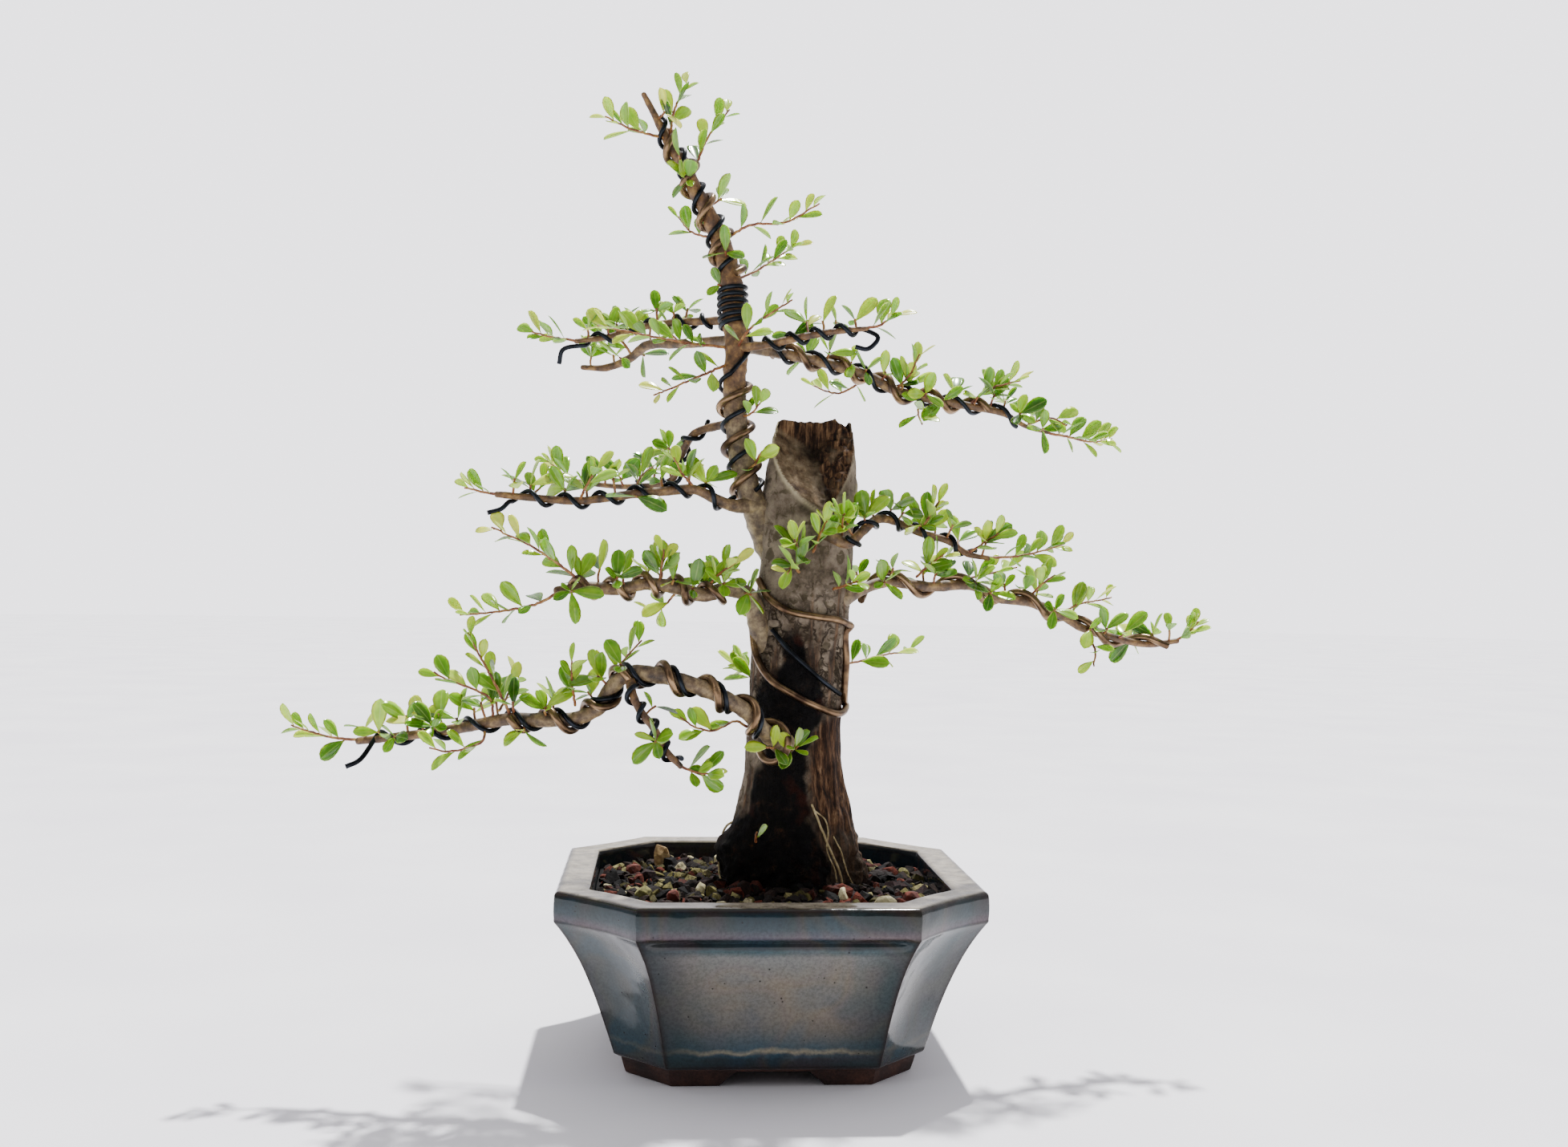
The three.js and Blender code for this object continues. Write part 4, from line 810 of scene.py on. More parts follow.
def make_trunk_bark():
    """Old bark: grey-beige with dark specks, cracked into plates where the attribute cracked says.
    The attribute wet turns it to black, damp, mossy wood, fibre to brown weathered grain, heart to
    bare heartwood, tan to its smoother, paler sawn face, deep to a near-black painted shade in its
    valley and crease, and callus to pale new bark."""
    material, tree, shader = new_material("old_bark", Roughness=0.85, Specular_IOR_Level=0.15)
    where = object_place(tree)
    wet, fibre, heart, callus, cracked, tan, deep = (
        add(tree, "ShaderNodeAttribute", attribute_name=name)
        for name in ("wet", "fibre", "heart", "callus", "cracked", "tan", "deep")
    )
    plates = add(
        tree, "ShaderNodeTexNoise", {"Vector": where, "Scale": 75.0, "Detail": 8.0, "Roughness": 0.68},
    )
    grey = add(
        tree, "ShaderNodeValToRGB", {0: plates},
        stops=[(0.3, "#2f261d"), (0.42, "#5a4f41"), (0.52, "#746859"), (0.64, "#8a7d6b"), (0.76, "#a0937d")],
    )
    lichen = add(
        tree, "ShaderNodeTexNoise", {"Vector": where, "Scale": 190.0, "Detail": 4.0, "Distortion": 0.8},
    )
    spots = add(tree, "ShaderNodeValToRGB", {0: lichen}, stops=[(0.57, "#000000"), (0.62, "#e0e0e0")])
    spotted = add(tree, "ShaderNodeMix", {0: spots, 6: (grey, 0), 7: linear("#3c3422")}, data_type="RGBA")
    bent = add(tree, "ShaderNodeMix", {0: 0.012, 4: where, 5: (lichen, "Color")}, data_type="VECTOR")
    cells = add(
        tree, "ShaderNodeTexVoronoi", {"Vector": (bent, 1), "Scale": 130.0}, feature="DISTANCE_TO_EDGE",
    )
    crack = add(tree, "ShaderNodeMapRange", {0: cells, 1: 0.02, 2: 0.17, 3: 1.0, 4: 0.0})
    cracks = add(tree, "ShaderNodeMath", {0: crack, 1: (cracked, "Fac")}, operation="MULTIPLY")
    plated = add(tree, "ShaderNodeMix", {0: cracks, 6: (spotted, 2), 7: linear("#2a2115")}, data_type="RGBA")
    stretch = add(tree, "ShaderNodeMapping", {0: where, "Scale": (1.0, 1.0, 0.12)})
    grain = add(
        tree, "ShaderNodeTexNoise", {"Vector": stretch, "Scale": 420.0, "Detail": 5.0, "Roughness": 0.7},
    )
    brown = add(
        tree, "ShaderNodeValToRGB", {0: grain},
        stops=[(0.34, "#0d0805"), (0.46, "#2c1c12"), (0.56, "#553c28"), (0.66, "#7a6047"), (0.78, "#9b8566")],
    )
    with_fibre = add(
        tree, "ShaderNodeMix", {0: (fibre, "Fac"), 6: (plated, 2), 7: (brown, 0)}, data_type="RGBA",
    )
    crust = add(
        tree, "ShaderNodeTexNoise", {"Vector": where, "Scale": 130.0, "Detail": 7.0, "Roughness": 0.7},
    )
    damp = add(
        tree, "ShaderNodeValToRGB", {0: crust},
        stops=[(0.45, "#020101"), (0.56, "#080503"), (0.64, "#1c110a"), (0.71, "#3a220f"), (0.8, "#6a5228")],
    )
    rust = add(tree, "ShaderNodeTexNoise", {"Vector": where, "Scale": 58.0, "Detail": 3.0})
    rusty = add(tree, "ShaderNodeValToRGB", {0: rust}, stops=[(0.6, "#000000"), (0.68, "#9a9a9a")])
    damp_rust = add(tree, "ShaderNodeMix", {0: rusty, 6: (damp, 0), 7: linear("#40190a")}, data_type="RGBA")
    with_wet = add(
        tree, "ShaderNodeMix", {0: (wet, "Fac"), 6: (with_fibre, 2), 7: (damp_rust, 2)}, data_type="RGBA",
    )
    sawn = add(
        tree, "ShaderNodeValToRGB", {0: grain},
        stops=[(0.38, "#0c0704"), (0.48, "#2c1b10"), (0.58, "#5c432d"), (0.72, "#957656")],
    )
    with_heart = add(
        tree, "ShaderNodeMix", {0: (heart, "Fac"), 6: (with_wet, 2), 7: (sawn, 0)}, data_type="RGBA",
    )
    smooth_wood = add(
        tree, "ShaderNodeValToRGB", {0: plates},
        stops=[(0.36, "#33241a"), (0.45, "#5c4b36"), (0.55, "#86745a"), (0.7, "#a8987d")],
    )
    with_tan = add(
        tree, "ShaderNodeMix", {0: (tan, "Fac"), 6: (with_heart, 2), 7: (smooth_wood, 0)},
        data_type="RGBA",
    )
    # deep paints the notch's valley and crease near-black: a painted shade.
    with_painted_valley_shade = add(
        tree, "ShaderNodeMix", {0: (deep, "Fac"), 6: (with_tan, 2), 7: linear("#0d0704")}, data_type="RGBA",
    )
    lip = add(
        tree, "ShaderNodeMix", {0: (callus, "Fac"), 6: (with_painted_valley_shade, 2), 7: linear("#cbbd9c")},
        data_type="RGBA",
    )
    relief = add(tree, "ShaderNodeMath", {0: grain, 1: 0.6, 2: crust}, operation="MULTIPLY_ADD")
    sunk = add(tree, "ShaderNodeMath", {0: cracks, 1: -0.5, 2: relief}, operation="MULTIPLY_ADD")
    bump = add(tree, "ShaderNodeBump", {"Height": sunk, "Strength": 0.9, "Distance": 0.0018})
    connect(shader, {"Base Color": (lip, 2), "Normal": bump})
    return material


def make_branch_bark():
    """Young bark: smooth, grey-beige, with darker patches; browner where the attribute young
    is near 1, on thin wood."""
    material, tree, shader = new_material("young_bark", Roughness=0.6)
    where = object_place(tree)
    young = add(tree, "ShaderNodeAttribute", attribute_name="young")
    patches = add(
        tree, "ShaderNodeTexNoise", {"Vector": where, "Scale": 210.0, "Detail": 5.0, "Roughness": 0.65},
    )
    grey = add(
        tree, "ShaderNodeValToRGB", {0: patches},
        stops=[(0.3, "#2c2118"), (0.43, "#544430"), (0.56, "#7a694c"), (0.7, "#a08c62")],
    )
    brown = add(
        tree, "ShaderNodeValToRGB", {0: patches},
        stops=[(0.3, "#26180d"), (0.5, "#5f4226"), (0.7, "#987442")],
    )
    mixed = add(tree, "ShaderNodeMix", {0: (young, "Fac"), 6: (grey, 0), 7: (brown, 0)}, data_type="RGBA")
    bump = add(tree, "ShaderNodeBump", {"Height": patches, "Strength": 0.5, "Distance": 0.0006})
    connect(shader, {"Base Color": (mixed, 2), "Normal": bump})
    return material


def make_wire_finish(name, dark, light, roughness):
    """Anodised annealed aluminium: a satin metal with paler patches at random, partly rubbed wear and partly
    a painted highlight.
    """
    material, tree, shader = new_material(name, Metallic=0.9)
    where = object_place(tree)
    rub_and_painted_highlight = add(tree, "ShaderNodeTexNoise", {"Vector": where, "Scale": 110.0, "Detail": 3.0, "Roughness": 0.5})
    # The light colour is partly rubbed metal and partly a painted highlight.
    tint = add(tree, "ShaderNodeValToRGB", {0: rub_and_painted_highlight}, stops=[(0.35, dark), (0.72, light)])
    satin = add(
        tree, "ShaderNodeMapRange", {0: rub_and_painted_highlight, 1: 0.3, 2: 0.75, 3: roughness + 0.08, 4: roughness - 0.06},
    )
    connect(shader, {"Base Color": tint, "Roughness": satin})
    return material


def make_leaf_finish():
    """Living leaf: a waxy, glossy upper skin, a paler dull underside, and tissue thin enough to glow
    when it is lit from behind. U past 1 marks the underside and tint runs from old to young."""
    material, tree, shader = new_material(
        "waxy_leaf", IOR=1.46, Subsurface_Weight=0.35, Subsurface_Scale=0.0016,
        Subsurface_Radius=(0.6, 1.0, 0.12),
    )
    where = object_place(tree)
    uv = add(tree, "ShaderNodeUVMap", uv_map="UVMap")
    parts = add(tree, "ShaderNodeSeparateXYZ", {0: uv})
    under = add(tree, "ShaderNodeMath", {0: (parts, 0), 1: 1.0}, operation="GREATER_THAN")
    within = add(tree, "ShaderNodeMath", {0: (parts, 0)}, operation="FRACT")
    middle = add(tree, "ShaderNodeMath", {0: within, 1: 0.5}, operation="SUBTRACT")
    across = add(tree, "ShaderNodeMath", {0: middle}, operation="ABSOLUTE")
    tint = add(tree, "ShaderNodeAttribute", attribute_name="tint")
    mottle = add(tree, "ShaderNodeTexNoise", {"Vector": where, "Scale": 260.0, "Detail": 2.0})
    shift = add(tree, "ShaderNodeMapRange", {0: mottle, 1: 0.3, 2: 0.7, 3: -0.08, 4: 0.08})
    age = add(tree, "ShaderNodeMath", {0: (tint, "Fac"), 1: shift}, operation="ADD")
    green = add(
        tree, "ShaderNodeValToRGB", {0: age},
        stops=[(0.0, "#2a4a10"), (0.3, "#527d16"), (0.6, "#84aa20"), (0.85, "#b3ca34"), (1.0, "#d0d455")],
    )
    rib = add(tree, "ShaderNodeMapRange", {0: across, 1: 0.0, 2: 0.06, 3: 0.25, 4: 0.0})
    ribbed = add(tree, "ShaderNodeMix", {0: rib, 6: (green, 0), 7: linear("#c3d07c")}, data_type="RGBA")
    rim = add(tree, "ShaderNodeMapRange", {0: across, 1: 0.43, 2: 0.5, 3: 0.0, 4: 0.5})
    rimmed = add(tree, "ShaderNodeMix", {0: rim, 6: (ribbed, 2), 7: linear("#b7cf6c")}, data_type="RGBA")
    foot = add(tree, "ShaderNodeMapRange", {0: (parts, 1), 1: 0.02, 2: 0.16, 3: 0.7, 4: 0.0})
    footed = add(tree, "ShaderNodeMix", {0: foot, 6: (rimmed, 2), 7: linear("#8f6a30")}, data_type="RGBA")
    pale = add(tree, "ShaderNodeMath", {0: under, 1: 0.35}, operation="MULTIPLY")
    turned = add(tree, "ShaderNodeMix", {0: pale, 6: (footed, 2), 7: linear("#8fb062")}, data_type="RGBA")
    dull = add(tree, "ShaderNodeMapRange", {0: under, 1: 0.0, 2: 1.0, 3: 0.2, 4: 0.5})
    connect(shader, {"Base Color": (turned, 2), "Roughness": dull})
    return material


def make_twig_bark():
    """Fresh shoot bark: reddish-brown and golden in patches, a little shiny."""
    material, tree, shader = new_material("shoot_bark", Roughness=0.5)
    where = object_place(tree)
    mottle = add(tree, "ShaderNodeTexNoise", {"Vector": where, "Scale": 300.0, "Detail": 3.0})
    tint = add(
        tree, "ShaderNodeValToRGB", {0: mottle},
        stops=[(0.35, "#5e2c16"), (0.5, "#86502a"), (0.68, "#a98245")],
    )
    connect(shader, {"Base Color": tint})
    return material


def make_stone_finish(name, stops):
    """A lone stone or chip of bark: dull and porous."""
    material, tree, shader = new_material(name, Roughness=0.9)
    where = object_place(tree)
    pores = add(
        tree, "ShaderNodeTexNoise", {"Vector": where, "Scale": 380.0, "Detail": 5.0, "Roughness": 0.7},
    )
    tint = add(tree, "ShaderNodeValToRGB", {0: pores}, stops=stops)
    bump = add(tree, "ShaderNodeBump", {"Height": pores, "Strength": 0.7, "Distance": 0.0008})
    connect(shader, {"Base Color": tint, "Normal": bump})
    return material


# ---------------- pot


def flare(z):
    """How far the pot's body has flared at a height, from 0 at its bottom to 1 under the band."""
    rise = (np.asarray(z, float) - FOOT_HEIGHT) / (BAND_BOTTOM - FOOT_HEIGHT)
    return np.clip(0.72 * rise + 0.28 * rise**4, 0, 1)


def octagon_sizes(z):
    """Half-widths and chamfer of the pot's outside at a height."""
    share = flare(z)
    halves = BODY_HALF + (RIM_HALF - BODY_HALF) * share[..., None]
    return halves[..., 0], halves[..., 1], BODY_CHAMFER + (RIM_CHAMFER - BODY_CHAMFER) * share


def octagon_ring(z, inset, per_side, per_chamfer):
    """An octagon at a height, moved inwards by inset, anticlockwise. With it, for each point, the
    share along its side, whether the side is a chamfer, and the side's outward direction."""
    half_x, half_y, chamfer = (float(size) for size in octagon_sizes(z))
    half_x, half_y = half_x - inset, half_y - inset
    chamfer -= inset * (2 - math.sqrt(2))
    x, y = half_x - chamfer, half_y - chamfer
    corners = np.array([
        [half_x, -y], [half_x, y], [x, half_y], [-x, half_y], [-half_x, y], [-half_x, -y], [-x, -half_y],
        [x, -half_y],
    ])
    points, shares, chamfered, outward = [], [], [], []
    for side, (start, end) in enumerate(zip(corners, np.roll(corners, -1, axis=0))):
        count = per_chamfer if side % 2 else per_side
        share = 0.5 - 0.5 * np.cos(np.pi * np.arange(count) / count)
        direction = unit(end - start)
        points.append(start + (end - start) * share[:, None])
        shares.append(share)
        chamfered.append(np.full(count, side % 2 == 1))
        outward.append(np.tile([direction[1], -direction[0]], (count, 1)))
    return np.vstack(points), np.concatenate(shares), np.concatenate(chamfered), np.vstack(outward)


def lip_inset(z, lip):
    """How far inside the outer face the pot's inner wall is."""
    return WALL + (lip - WALL) * ease(FLOOR_TOP, BAND_BOTTOM, z) ** 3


def outer_dent(z, share, chamfered, sizes):
    """How far the outer face dips inwards: coved chamfers, sunk panels and the groove under the band."""
    cove = sizes.cove / MM * np.sin(np.pi * share) * ease(FOOT_HEIGHT, 40, z) * (1 - 0.65 * ease(66, 84, z))
    frame_edge = ease(0, 0.06, share) * ease(0, 0.06, 1 - share)
    panel = sizes.panel / MM * frame_edge * ease(FOOT_HEIGHT, 16, z) * (1 - ease(69.5, 71, z))
    groove_ends = ease(0.02, 0.05, share) * ease(0.02, 0.05, 1 - share)
    groove = sizes.groove / MM * groove_ends * bell(z - 70.6, 1.8)
    return np.where(chamfered, cove, panel + groove)


def in_gate(points):
    """How far up the foot's gates lift a point of the foot ring, in millimetres."""
    along_side = np.where(np.abs(points[:, 0]) < np.abs(points[:, 1]), points[:, 0], points[:, 1])
    return RECESS_HEIGHT * np.clip((FOOT_GATE_HALF - np.abs(along_side)) / FOOT_GATE_SLANT, 0, 1)


def pot_levels(lip):
    """The pot's rings from its underside over the foot, the wall and the rim down to the floor inside,
    as heights, insets and how much of the body's relief each shows."""
    foot, sole = FOOT_RING + FOOT_TAPER, FOOT_INSET + FOOT_TAPER
    levels = [(RECESS_HEIGHT, foot + FOOT_INSET + 25, 0), (RECESS_HEIGHT, foot + FOOT_INSET, 0)]
    levels += [(0.6, foot + 0.3, 0), (0, foot - 0.6, 0), (0, sole + 0.6, 0), (0.6, sole, 0)]
    levels += [(z, FOOT_INSET + FOOT_TAPER * (1 - z / FOOT_HEIGHT), 0) for z in (3, 5.5, 7.6)]
    levels += [(8.4, 1.9, 0), (9, 0.8, 1), (9.6, 0.2, 1), (10.4, 0, 1)]
    levels += [(z, 0, 1) for z in np.arange(12, 68, 2)]
    levels += [(z, 0, 1) for z in (68.6, 69.3, 70, 70.6, 71.2, 71.8, 72.3, 72.9, 73.6)]
    levels += [(z, -0.25 * math.sin(math.pi * (z - 73) / 11), 1) for z in np.arange(75, 84, 1.5)]
    levels += [(84.2, 0.15, 1), (85, 0.6, 1), (85.6, 1.3, 1), (85.95, 2.4, 1)]
    for inset in np.arange(4, lip - 1, 1.6):
        levels.append((86 - 0.25 * math.sin(math.pi * (inset - 3) / (lip - 4)), inset, 1))
    levels += [(85.7, lip - 0.8, 0.6), (84.8, lip - 0.1, 0.4)]
    levels += [(z, float(lip_inset(z, lip)), 0) for z in (82, 79, 76, 72, 64, 54, 42, 30, 22)]
    return levels + [(FLOOR_TOP, WALL + 3, 0), (FLOOR_TOP, WALL + 30, 0)]


def build_pot(sizes):
    lip = sizes.lip / MM
    per_side, per_chamfer = 34, 14
    rings = []
    for z, inset, relief in pot_levels(lip):
        flat, share, chamfered, outward = octagon_ring(z, inset, per_side, per_chamfer)
        flat = flat - outward * (relief * outer_dent(z, share, chamfered, sizes))[:, None]
        ring = np.column_stack([flat, np.full(len(flat), z)])
        if z < RECESS_HEIGHT:
            ring[:, 2] = np.maximum(ring[:, 2], in_gate(ring))
        rings.append(ring)
    points, faces = skin(np.array(rings))
    uneven = rough(points, 26, 3) * 0.35 + rough(points, 9, 4) * 0.08
    outer = (points[:, 2] > FOOT_HEIGHT + 1) & (points[:, 2] < POT_HEIGHT - 2)
    points[:, :2] -= unit(points[:, :2]) * np.where(outer, np.maximum(uneven, 0), 0)[:, None]
    glaze, clay = make_glaze(), make_clay()
    pot = make_piece("pot.glazed", points, faces, (glaze, clay))
    drain_sides, below_floor, above_floor = 40, 2, 24
    angle = np.linspace(0, 2 * np.pi, drain_sides, endpoint=False)
    circle = np.stack([np.cos(angle), np.sin(angle)], axis=1) * DRAIN_RADIUS
    for side in (-1, 1):
        spot = circle + [side * DRAIN_OFFSET, 0]
        rings = [np.column_stack([spot, np.full(drain_sides, z)]) for z in (below_floor, above_floor)]
        cut(pot, *skin(np.array(rings)))
    mark_glaze(pot.data, lip)
    pot.data.set_sharp_from_angle(angle=math.radians(50))
    place(pot, "pot_glaze", "pot")


def mark_glaze(mesh, lip):
    """Writes where the glaze thins and pools, leaves the foot and the underside bare, and gives the inside a
    dark glaze.
    """
    points, _ = read_points(mesh)
    half_x, half_y, chamfer = octagon_sizes(points[:, 2])
    gaps = np.stack([
        half_x - np.abs(points[:, 0]), half_y - np.abs(points[:, 1]),
        (half_x + half_y - chamfer - np.abs(points[:, 0]) - np.abs(points[:, 1])) / math.sqrt(2),
    ])
    on_chamfer = gaps[2] < gaps[:2].min(axis=0)
    gaps.sort(axis=0)
    inset, corner = gaps[0], gaps[1] - gaps[0]
    z = points[:, 2]
    outside = (inset < 5.5) & (z > FOOT_HEIGHT)
    ridge = bell(corner, 1.1) * outside * (1 - ease(70, 76, z)) * 0.75
    jag = rough(points, 5, 7)
    rim_line = bell(z - 84.9, 0.75) * (inset < 2.6) * (0.75 + 0.5 * jag)
    inner_line = bell(inset - lip, 0.8) * (z > 83) * 0.5
    foot_line = bell(z - 9.6, 0.9) * outside * 0.8
    write_fields(mesh, {
        "level": np.where(outside | (z > 85), z / POT_HEIGHT, 0.12),
        "edge": np.clip(np.maximum.reduce([ridge, rim_line, inner_line, foot_line]), 0, 1),
        # side marks the glaze pooled near each corner and the whole chamfer, where its darker teal is partly
        # painted shade.
        "side": np.maximum(bell(corner, 13) * 0.85, on_chamfer * 0.85) * outside * (1 - ease(70, 72, z)),
        "top": ease(85.2, 85.8, z) * ease(1.6, 3, inset),
    })
    for face in mesh.polygons:
        corners = [mesh.vertices[i].co for i in face.vertices]
        low = max(co.z for co in corners) < (FOOT_HEIGHT + 0.2) * MM
        face.material_index = int(low)


# ---------------- soil

# Gravel is strewn on a grid of squares this wide, this far from the wall and from the two CAD stones.
GRAVEL_GRID = 3.0
WALL_GAP = 2.6
STONE_GAP = 6.5
STONE_SPOTS = ((52, -52), (-52, 52))
STONE_ROUNDING = 0.5


def hull(points):
    """The points and faces of a closed convex skin."""
    made = bmesh.new()
    for point in points:
        made.verts.new(point)
    result = bmesh.ops.convex_hull(made, input=made.verts)
    inner = [item for item in result["geom_interior"] if isinstance(item, bmesh.types.BMVert)]
    bmesh.ops.delete(made, geom=inner, context="VERTS")
    bmesh.ops.recalc_face_normals(made, faces=made.faces)
    made.verts.index_update()
    skin_points = np.array([vert.co[:] for vert in made.verts])
    faces = [[vert.index for vert in face.verts] for face in made.faces]
    made.free()
    return skin_points, faces


def make_stock(name, pieces):
    """A collection of shapes for Geometry Nodes to pick from, outside the scene."""
    stock = bpy.data.collections.new(name)
    for piece in pieces:
        stock.objects.link(piece)
        bpy.context.scene.collection.objects.unlink(piece)
    return stock


def drop_stock(stock):
    for piece in list(stock.objects):
        bpy.data.objects.remove(piece)
    bpy.data.collections.remove(stock)


def new_gravel_tree():
    """Scatters grains of random kind, turn, size and tint on a surface."""
    tree, start, end = new_geometry_tree("scattered_gravel", {
        "Grains": ("Collection", None), "Spacing": ("Float", 0.003), "Smallest": ("Float", 0.0015),
        "Largest": ("Float", 0.0035), "Seed": ("Int", 1), "Material": ("Material", None),
    })
    spots = add(
        tree, "GeometryNodeDistributePointsOnFaces",
        {"Mesh": start, "Distance Min": (start, "Spacing"), "Density Max": 200000.0,
         "Seed": (start, "Seed")},
        distribute_method="POISSON",
    )
    grains = add(
        tree, "GeometryNodeCollectionInfo",
        {"Collection": (start, "Grains"), "Separate Children": True, "Reset Children": True},
    )
    kind = add(tree, "FunctionNodeRandomValue", {4: 0, 5: 99, "Seed": 11}, data_type="INT")
    full_turns = (6.283, 6.283, 6.283)
    turn = add(tree, "FunctionNodeRandomValue", {1: full_turns, "Seed": 12}, data_type="FLOAT_VECTOR")
    evenly = add(tree, "FunctionNodeRandomValue", {2: 0.0, 3: 1.0, "Seed": 13}, data_type="FLOAT")
    mostly_small = add(tree, "ShaderNodeMath", {0: (evenly, 1), 1: 2.2}, operation="POWER")
    size = add(tree, "ShaderNodeMapRange", {0: mostly_small, 3: (start, "Smallest"), 4: (start, "Largest")})
    placed = add(
        tree, "GeometryNodeInstanceOnPoints",
        {"Points": spots, "Instance": grains, "Pick Instance": True, "Instance Index": (kind, 2),
         "Rotation": (turn, 0), "Scale": size},
    )
    tint = add(tree, "FunctionNodeRandomValue", {2: 0.0, 3: 1.0, "Seed": 14}, data_type="FLOAT")
    tinted = add(
        tree, "GeometryNodeStoreNamedAttribute", {"Geometry": placed, "Name": "tint", "Value": (tint, 1)},
        data_type="FLOAT", domain="INSTANCE",
    )
    real = add(tree, "GeometryNodeRealizeInstances", {0: tinted})
    finish = add(tree, "GeometryNodeSetMaterial", {"Geometry": real, "Material": (start, "Material")})
    connect(end, {0: finish})
    return tree


def soil_height(x, y):
    """The soil's surface: higher at the trunk, sunk a little at the wall, and uneven."""
    reach = np.hypot((x - 12) / 84, y / 80)
    flat = np.column_stack([x, y, np.zeros(len(x))])
    return SOIL_EDGE - 1.2 + 4.2 * (1 - ease(0.3, 0.95, reach)) + 1.1 * rough(flat, 13, 5)


def is_strewn(spot):
    """Whether gravel is strewn at a spot: inside the wall, and off the trunk and the two CAD stones."""
    half_x, half_y = RIM_HALF - SOIL_INSET - WALL_GAP
    reach = np.abs(spot)
    off_corner = reach.sum() < half_x + half_y - (RIM_CHAMFER - 9)
    inside = reach[0] < half_x and reach[1] < half_y and off_corner
    off_trunk = np.hypot((spot[0] - 14) / 34, spot[1] / 31) > 1
    return inside and off_trunk and all(math.dist(spot, stone) > STONE_GAP for stone in STONE_SPOTS)


def make_bed(grit):
    """The soil's body: it fills the pot and has an uneven surface of fine grit."""
    rings = []
    for z in (FLOOR_TOP + 0.6, 30, 45, 60, SOIL_EDGE - 4):
        flat = octagon_ring(z, float(lip_inset(z, RIM_LIP)) + 0.4, 20, 8)[0]
        rings.append(np.column_stack([flat, np.full(len(flat), z)]))
    edge = octagon_ring(SOIL_EDGE, SOIL_INSET + 0.1, 20, 8)[0]
    for share in np.linspace(1, 0.04, 34):
        flat = edge * share
        rings.append(np.column_stack([flat, soil_height(flat[:, 0], flat[:, 1])]))
    points, faces = skin(np.array(rings))
    points[-1, 2] = rings[-1][:, 2].mean()
    points[:, 2] += rough(points, 2.6, 8) * 0.7 * (points[:, 2] > SOIL_EDGE - 3)
    tint = np.clip(0.2 + 0.2 * rough(points, 3, 9), 0, 0.5)
    return make_piece("soil.bed", points, faces, (grit,), tint=tint)


def make_grains():
    """Nine kinds of gravel grain, each about a metre in half-width, for the tree to scale down."""
    rng = np.random.default_rng(21)
    kinds = []
    for i in range(9):
        ball = unit(rng.normal(size=(20, 3))) * rng.uniform(0.75, 1.15, (20, 1)) * rng.uniform(0.62, 1.25, 3)
        shape, faces = hull(ball)
        kinds.append(make_piece(f"grain_{i}", shape / MM, faces, smooth=False))
    return make_stock("grains", kinds)


def build_soil(sizes):
    grit = make_grit()
    place(make_bed(grit), "soil", "soil")
    stock = make_grains()
    spans = np.arange(-84, 84 + GRAVEL_GRID, GRAVEL_GRID)
    grid_x, grid_y = (axis.ravel() for axis in np.meshgrid(spans, spans, indexing="ij"))
    surface = np.column_stack([grid_x, grid_y, soil_height(grid_x, grid_y) + 0.6])
    count = len(spans)
    cells = []
    for row in range(count - 1):
        for column in range(count - 1):
            if is_strewn(np.array([spans[row], spans[column]]) + GRAVEL_GRID / 2):
                first = row * count + column
                cells.append([first, first + count, first + count + 1, first + 1])
    gravel = make_piece("gravel", surface, cells)
    run_tree(
        gravel, new_gravel_tree(), Grains=stock, Spacing=sizes.spacing, Smallest=sizes.smallest,
        Largest=sizes.largest, Seed=sizes.seed, Material=grit,
    )
    drop_stock(stock)
    place(gravel, "soil")
    build_stones()


def build_stones():
    """The pale pumice pebble and the upright chip of bark, each from its CAD node's box, and the loose
    stones on the gravel."""
    rng = np.random.default_rng(5)
    pumice = make_stone_finish("pumice", [(0.3, "#8d8560"), (0.5, "#c3b98e"), (0.7, "#ddd5b4")])
    chip = make_stone_finish("pine_bark", [(0.3, "#6a4c30"), (0.5, "#a18358"), (0.72, "#cdb488")])
    for node, slot, finish, count in (
        ("pale_pebble", "pale_stone", pumice, 60), ("bark_chip", "bark_chip", chip, 22),
    ):
        low, high = (np.array(corner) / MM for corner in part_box(node))
        ball = unit(rng.normal(size=(count, 3)))
        corners = (low + high) / 2 + ball * (high - low) / 2 * rng.uniform(0.86, 1.0, (count, 1))
        place(make_stone(node + ".fine", corners, finish), slot, node)
    lava = make_stone_finish("red_lava", [(0.3, "#2c120d"), (0.5, "#5a2418"), (0.7, "#7c3826")])
    olive = make_stone_finish("olive_pumice", [(0.3, "#3f3b1c"), (0.5, "#6f6a38"), (0.7, "#969058")])
    finishes = {"cream": pumice, "olive": olive, "red": lava}
    for i, (middle, size, rock) in enumerate(LOOSE_STONES):
        ball = unit(rng.normal(size=(34, 3))) * rng.uniform(0.8, 1.05, (34, 1)) * rng.uniform(0.75, 1.2, 3)
        corners = np.array(middle) + ball * size / 2
        place(make_stone(f"loose_stone_{i}", corners, finishes[rock]), "soil")


def make_stone(name, corners, finish):
    """A faceted stone whose skin wraps its corners, with its edges a little rounded."""
    shape, faces = hull(corners)
    stone = make_piece(name, shape, faces, (finish,), smooth=False)
    modifier = stone.modifiers.new("round", "BEVEL")
    modifier.width, modifier.segments = STONE_ROUNDING * MM, 2
    return settle(stone)


def build_net():
    """The two drainage nets stay as the CAD model has them, in their own finish."""
    finish = make_net()
    for node in ("drain_mesh_left", "drain_mesh_right"):
        piece = frame["nodes"][node]
        if not piece.material_slots:
            piece.data.materials.append(finish)
        for holder in piece.material_slots:
            holder.material = finish


# ---------------- trunk

TRUNK_FINE = smooth_line(TRUNK, 1.0)


